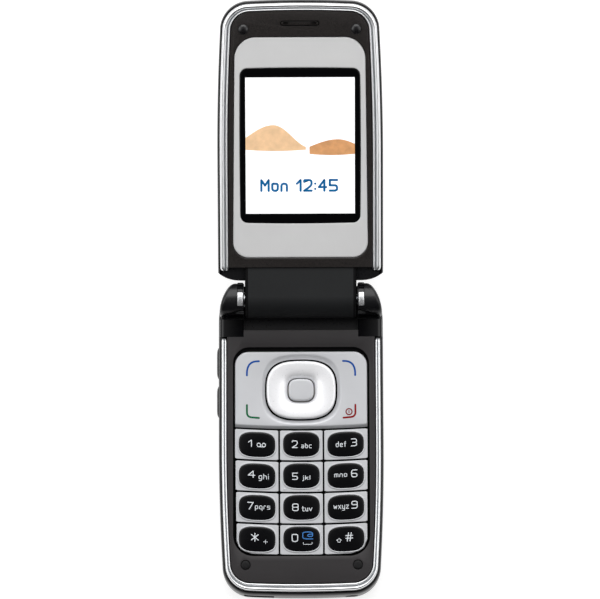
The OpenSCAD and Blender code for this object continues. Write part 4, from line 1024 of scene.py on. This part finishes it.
def in_lid(points):
    """Lid places (across, along the lid, towards the user) in mm, leaned at the opening angle about the
    hinge axis, as places of the frame in metres."""
    x, e, n = np.moveaxis(np.asarray(points, float), -1, 0)
    c, s = math.cos(OPEN_ANGLE), math.sin(OPEN_ANGLE)
    return np.stack([x, HINGE_Y + e * c - n * s, HINGE_Z + e * s + n * c], -1) * MM


def tangent_turn(e, n, side):
    """The direction in which a line from (e, n) touches the barrel's circle."""
    return math.atan2(n, e) + side * math.acos(BARREL_R / math.hypot(e, n))


start, stop = tangent_turn(BLOCK_END, BLOCK_FACE, 1), tangent_turn(BLOCK_END, BACK_N + 1, -1) + 2 * math.pi
turn = np.linspace(start, stop, 72)
block_line = np.concatenate([BARREL_R * np.stack([np.cos(turn), np.sin(turn)], 1),
                             [(BLOCK_END, BACK_N + 1), (BLOCK_END, BLOCK_FACE)]])
block_line = counter_clockwise(block_line)
EASE = 0.9
edge_turn = np.radians(np.linspace(0, 90, 7))
stations = [(-BARREL_HALF + EASE * (1 - math.sin(a)), EASE * (1 - math.cos(a))) for a in edge_turn[::-1]]
stations += [(-x, inset) for x, inset in stations[::-1]]


def block_section(x, inset):
    """The block's outline at x, moved inwards round the barrel but not where it joins the lid."""
    away = block_line / np.maximum(np.linalg.norm(block_line, axis=1, keepdims=True), 1)
    fade = np.clip((BLOCK_END - 1.5 - block_line[:, :1]) / 3, 0, 1)
    line = block_line - away * inset * fade
    return np.column_stack([np.full(len(line), x), line])


def axle(x0, x1, r):
    """A cylinder along the hinge axis, in the lid's places."""
    return skin([np.column_stack([np.full(40, x), circle(r, steps=40)]) for x in (x0, x1)])


# matt soft-touch paint: an even dark grey without a sheen
soft_touch = surface("soft_touch_paint", "#1a1b1c", 0.62, 0.5, 0.0012, spread=0.03, specular=0.12)
barrel = piece("hinge_block", skin([block_section(x, inset) for x, inset in stations]), soft_touch, in_lid)
cut(barrel, axle(2.5, 17, 2.97), axle(-17, -8.6, 2.25), axle(-9, 1.4, 1.6), place=in_lid,
    added=[block((-13, 9.0, -4.2), (13, 15.2, -3.3))])
cut(barrel, *[rod(*spot, 0.9, -6, -2) for spot in LID_SCREWS], place=in_lid)
# painted shade: the barrel's rounded ends are black, for the shade on them as they turn away
finish_where(barrel, silicone_and_shade, lambda x, y, z: np.abs(x) > BARREL_HALF - 1.0)
fit_to("lid", "graphite_plastic", barrel)


# Back shell of the lid ----------------------------------------------------
# The lid's outer half, painted graphite, with a seat for the outer window. It
# runs down in two lobes beside the barrel, and its outer edge is well rounded.
LID_LEN, BUMPER_E = 84.2, 76.1
BUMPERS = ((-PAD_X, BUMPER_E), (PAD_X, BUMPER_E))
LID_LIP = [(0.0, 0.0), (0.5, 0.05), (0.85, 0.16), (1.1, 0.3), (1.2, 0.4), (1.2, 1.2)]
WINDOW_OUT = (27, 46, 7, 0, 39)
levels = [(BACK_N + z, edge_inset(z)) for z in depths] + LID_LIP
back = piece("lid_back_shell", layers(lambda i: phone_outline(LID_LEN, FLANK_START, i), levels),
             graphite, in_lid)
lobe_x = np.linspace(15.5, 25, 20)
lobe_end = 5.7 + 2.0 * (np.maximum(0, lobe_x - 16.3) / 6.6) ** 2.6
slant = np.concatenate([np.stack([lobe_x, lobe_end], 1), [(25, 3), (15.5, 3)]])
room = [(-6.7, 2.6), (-5.9, 1.9), (-4.8, 1.4), (3, 1.3)]
outer_seat = rounded(WINDOW_OUT[0] + 0.1, WINDOW_OUT[1] + 0.1, 7, 0, 39, steps=12)
outer_hole = rounded(WINDOW_OUT[0] - 2.4, WINDOW_OUT[1] - 2.4, 5.8, 0, 39, steps=12)
cut(back,
    slab(slant, -9, 3), slab(slant * [-1, 1], -9, 3),
    layers(lambda i: phone_outline(LID_LEN, BLOCK_END + 1.3, i), room),
    block((-15.68, 3, -10), (15.68, BLOCK_END + 0.3, 3)),
    block((-13.2, 8.6, -4.3), (13.2, 11.9, -3.2)), block((-7.3, 8.6, -0.5), (1.3, 11.9, 0.5)),
    slab(outer_seat, -9, -7.2), slab(outer_hole, -9, -5), place=in_lid,
    added=[rod(*spot, 1.6, -6.8, n) for spots, n in ((LID_SCREWS, -4.22), (BUMPERS, 0.85)) for spot in spots])
cut(back, *[rod(*spot, 0.81, -6.2, 2) for spot in LID_SCREWS + BUMPERS], place=in_lid)
finish_where(back, gloss_black, lambda x, y, z: (np.abs(x) > 15.6) & (y < HINGE_Y + 9.2) & (z > HINGE_Z))
fit_to("lid", "graphite_plastic", back)


# Outer window and camera --------------------------------------------------
# The black window on the lid's back covers the outer display. The camera
# looks out through it, in a turned metal ring with a domed lens.
glass_line = counter_clockwise(rounded(*WINDOW_OUT, steps=14))
glass_rings = [(-7.25, 0.0), (-7.85, 0.0), (-7.95, 0.08), (-8.0, 0.25)]
# hard-coated acrylic, printed black from inside
black_window = surface("coated_acrylic_black", "#060607", 0.05, 3.0, 0.0008, spread=0.015, specular=0.4)
outer_glass = piece("outer_window", layers(lambda i: drawn_in(glass_line, i), glass_rings),
                    black_window, in_lid)
CAMERA_E, CAMERA_R = 22.5, 4.0
cut(outer_glass, rod(0, CAMERA_E, CAMERA_R + 0.05, -9, -6, steps=64), place=in_lid)
fit_to("lid", "window_glass", outer_glass)

# turned and anodised aluminium: fine rings of tool marks
turned_ring = surface("turned_aluminium_ring", "#b9bbbf", 0.24, 0.1, 0.0012, Metallic=1.0)
lens_glass = surface("coated_lens_glass", "#0a0a16", 0.04, 2.0, 0.0004, spread=0.01, **{"Coat Weight": 0.6})
ring_profile = [(3.0, -6.4), (4.0, -6.4), (4.0, -7.7), (3.85, -7.92), (3.6, -8.0), (3.35, -7.9),
                (2.5, -7.2), (2.5, -6.4)]
lens_profile = [(2.5, -6.5), (2.48, -6.95), (1.9, -7.12), (1.2, -7.22), (0.5, -7.26), (0.02, -7.27)]
camera_unit = fused(
    piece("camera_module", skin([at(circle(r, 0, CAMERA_E, 180), n) for r, n in ring_profile], loop=True),
          turned_ring, in_lid, crease=30),
    piece("lens", turned(lens_profile, 0, CAMERA_E, 64), lens_glass, in_lid),
    piece("housing", block((-4.5, CAMERA_E - 4.5, -6.4), (4.5, CAMERA_E + 4.5, -3.65)),
          black_housing, in_lid))
fit_to("lid", "black_component", camera_unit)


# Chrome frame of the lid --------------------------------------------------
# The same plated frame as on the base, with a wider outer bead. Its two ends
# stop just above the barrel.
LID_CHROME, LID_END_STEP, LID_SIDE = (0.45, 1.62, 2.4), 0.57, 0.33


def lid_end_line(inset):
    """The length to which an outline at this inset reaches: its outer edge keeps back less."""
    return LID_LEN - LID_END_STEP * min(1, inset / 1.3)


chrome_lid = piece("lid_chrome_frame", frame_bar(lid_end_line, 8.6, *LID_CHROME, 1.23, 1.75, 2.6, LID_SIDE),
                   chrome, in_lid, crease=50)
grey_groove(chrome_lid)
fit_to("lid", "chrome_trim", chrome_lid)


# Dark bezel of the lid ----------------------------------------------------
# The inner half of the lid: a speckled dark moulding with seats for the face
# plate, the earpiece slot and the two bumpers that the closed lid rests on.
BEZEL_N, RIM_N, SLOT_E = 0.9, 2.5, 77.8
PLATE_E, PLATE_HALF = (12.4, 73.8), 18.9


def face_outline(grow):
    """The face plate's outline: larger corners at the top, and sides that draw in by a power of 1.5
    towards the top."""
    line = rounded(2 * PLATE_HALF + 2 * grow, PLATE_E[1] - PLATE_E[0] + 2 * grow,
                   [5.8 + grow, 5.8 + grow, 4.2 + grow, 4.2 + grow], 0, sum(PLATE_E) / 2, 12)
    share = np.clip((line[:, 1] - PLATE_E[0]) / (PLATE_E[1] - PLATE_E[0]), 0, 1)
    line[:, 0] *= 1 - 0.04 * share ** 1.5
    return counter_clockwise(bulged(line, 0.25, 0.0))


def bulged(line, ends, sides):
    """An outline whose ends and sides swell by these heights, each a parabola over its own length."""
    middle, half = (line.max(0) + line.min(0)) / 2, (line.max(0) - line.min(0)) / 2
    share = (line - middle) / half
    return line + np.sign(share) * np.abs(share) ** 4 * (1 - share[:, ::-1] ** 2) * [sides, ends]


# dark in-mould paint with a fine warm speckle
speckled = surface("speckled_dark_paint", "#221f1e", 0.42, 0.22, 0.004, tint=0.5, patch_mm=0.3,
                   specular=0.2)
bezel = piece("lid_bezel", layers(
    lambda i: sides_drawn(phone_outline(LID_LEN - LID_END_STEP, BLOCK_END, i), LID_CHROME[2] * LID_SIDE),
    [(BEZEL_N, 2.4), (2.35, 2.4), (2.46, 2.46), (RIM_N, 2.6)]), speckled, in_lid)
slot_line = rounded(10.9, 1.5, 0.7, 0, SLOT_E)
cut(bezel,
    layers(face_outline, [(1.45, 0.1), (2.3, 0.1), (2.52, 0.35), (4, 0.4)]),
    block((-15.75, 24.3, 0), (15.75, 64.2, 4)),
    layers(lambda wider: slot_line * [wider, 1], [(0, 1), (2.4, 1), (2.52, 1.01), (4, 1.01)]),
    *[rod(*spot, 1.47, 1.6, 4, steps=48) for spot in BUMPERS],
    *[rod(*spot, 1.34, 0, 3) for spot in BUMPERS], place=in_lid)
fit_to("lid", "bezel_plastic", bezel)


# Face plate ---------------------------------------------------------------
# The silver panel round the display, lacquered like the function plate. The
# place above the window is left plain.
FACE_N, WINDOW_SIZE, WINDOW_E = (1.5, 2.2), (33.5, 43.1, 2.0), 43.7
middle = np.array([0, WINDOW_E])
middle_x = np.linspace(-14.5, 14.5, 24)[:, None]
corners = rounded(*WINDOW_SIZE, 0, WINDOW_E, steps=10)
side_e = np.linspace(-19, 19, 24)[:, None]
half_w, half_h = WINDOW_SIZE[0] / 2, WINDOW_SIZE[1] / 2
window_line = np.concatenate([
    corners[:11], np.hstack([-middle_x, 0 * middle_x + WINDOW_E + half_h]), corners[11:22],
    np.hstack([0 * side_e - half_w, WINDOW_E - side_e]), corners[22:33],
    np.hstack([middle_x, 0 * middle_x + WINDOW_E - half_h]), corners[33:],
    np.hstack([0 * side_e + half_w, WINDOW_E + side_e])])
window_line = counter_clockwise(bulged(window_line, 0.22, 0.15))
outer_line = face_outline(0)
ACTIVE_W, ACTIVE_E = 30.5, (24.7, 62.8)
active_line = counter_clockwise(rounded(ACTIVE_W, ACTIVE_E[1] - ACTIVE_E[0], 0.05, 0, sum(ACTIVE_E) / 2, 1))
ways = directions(np.concatenate([outer_line, window_line, active_line]), middle, 200)


def face_ring(line, inset, n):
    """The outline, moved in by an inset, as points on the rays that plate and window share."""
    return at(seen_from(drawn_in(line, inset), middle, ways), n)


face_rings = [face_ring(window_line, -0.06, FACE_N[0])]
face_rings += [face_ring(outer_line, inset, n) for inset, n in (
    (0, FACE_N[0]), (0, 2.0), (0.07, 2.12), (0.2, 2.18), (0.4, FACE_N[1]), (0.6, FACE_N[1]))]
face_rings += [face_ring(window_line, inset, n) for inset, n in (
    (-0.4, FACE_N[1]), (-0.2, FACE_N[1]), (-0.06, 2.12))]
# the same lacquer painted paler, as painted light: the leaning lid gets less of the far light than the base
lit_lacquer_copy = surface("silver_lacquer_painted_light", "#d3d3d3", 0.44, 0.14, 0.0022, tint=0.02, Metallic=0.15)
face = piece("face_plate", skin(face_rings, loop=True), lit_lacquer_copy, in_lid)
fit_to("lid", "silver_plate", face)


# Display window and display -----------------------------------------------
# A clear window, printed black round the picture, stands a hair proud of the
# face plate. Under it lies the display, lit, with a plain landscape and a time.
window_rings = [at(seen_from(active_line, middle, ways), 1.6)]
window_rings += [face_ring(window_line, inset, n) for inset, n in (
    (0, 1.6), (0, 2.15), (0.06, 2.25), (0.2, 2.3), (0.4, 2.3))]
window_rings += [at(seen_from(active_line, middle, ways), 2.3)]
window = piece("display_window", skin(window_rings, loop=True), black_window, in_lid)
fit_to("lid", "window_glass", window)

# the lit display under clear glass: its own light makes up most of the white
lit_white, lit_tan, lit_sand, lit_blue = [
    surface("lit_display_" + name, colour, 0.07, 2.0, 0.0002, spread=0.02, tint=tint, patch_mm=patch,
            **{"Emission Color": linear(shine), "Emission Strength": strength})
    for name, colour, tint, patch, shine, strength in (
        ("white", "#d9dadb", 0.005, 9.0, "#ffffff", 0.55), ("tan", "#c08a5c", 0.2, 2.2, "#d9a77a", 0.3),
        ("sand", "#d9b48c", 0.12, 2.2, "#e6c29c", 0.3), ("blue", "#125a8c", 0.02, 9.0, "#17699f", 0.3))]
PICTURE_N = (2.2, 2.276)
panel = fused(
    piece("main_display", block((-17.25, 22.25, -2.6), (17.25, 66.25, 0.85)), tin_plate, in_lid),
    piece("stack", block((-15.5, 24.6, 0.85), (15.5, 63.9, 1.45)), black_housing, in_lid),
    piece("lit", slab(active_line, 1.45, 2.27), lit_white, in_lid))


def dune(finish, left, crest, right, low, height, start, end):
    """A patch of the picture from one side to another: its upper edge is a bump that falls to both sides
    with a squared cosine, and its lower edge a shallow wave."""
    x = np.linspace(start, end, 60)
    width = np.where(x < crest, crest - left, right - crest)
    bump = np.cos(np.clip((x - crest) / width, -1, 1) * np.pi / 2) ** 2
    upper = low + 0.5 + height * bump
    lower = low - 0.35 * np.sin((x - start) / (end - start) * np.pi)
    line = counter_clockwise(np.concatenate([np.stack([x, lower], 1), np.stack([x, upper], 1)[::-1]]))
    return piece("picture", slab(line, *PICTURE_N), finish, in_lid)


clock = [slab(line, *PICTURE_N) for line in written("Mon 12:45", (-11.2, 30.8), (10.6, 34.4), 0.62)]
panel = fused(panel,
              dune(lit_sand, -22, -7.5, 3, 42.6, 6.4, -15.25, 1.6),
              dune(lit_tan, -4, 10.5, 22, 41.4, 3.6, 2.6, 15.25),
              piece("clock", together(*clock), lit_blue, in_lid))
fit_to("lid", "display_panel", panel)


# Earpiece grille ----------------------------------------------------------
# A narrow slot with a dark insert, pierced with a row of fine holes.
grille = piece("earpiece_grille", layers(lambda i: rounded(10.5 - 2 * i, 1.1 - 2 * i, 0.53 - i, 0, SLOT_E),
                                         [(0.92, 0), (2.05, 0), (2.16, 0.08), (2.2, 0.2)]), speckled, in_lid)
hole = rounded(1.5, 0.8, 0.38)
cut(grille, *[slab(hole + [x, SLOT_E], 1.2, 3) for x in (-3.9, 3.9)],
    *[rod(x, SLOT_E, 0.13, 1.2, 3, steps=16) for x in np.linspace(-2.6, 2.6, 9)], place=in_lid)
fit_to("lid", "dark_mesh", grille)


# Lid bumpers --------------------------------------------------------------
# Two domed rubber studs. They cover the upper screws and hold the closed lid
# off the key deck.
# polished rubber, nearly black: a soft highlight
stud_rubber = surface("polished_rubber_black", "#121113", 0.27, 0.6, 0.0012, spread=0.03)
stud_turn = np.radians(np.linspace(0, 88, 10))
stud = [(1.44, 1.62)] + [(1.44 * math.cos(a), 2.38 + 0.52 * math.sin(a)) for a in stud_turn]
studs = piece("lid_bumpers", together(*[turned(stud, *spot, 48) for spot in BUMPERS]),
              stud_rubber, in_lid)
fit_to("lid", "dark_rubber", studs)
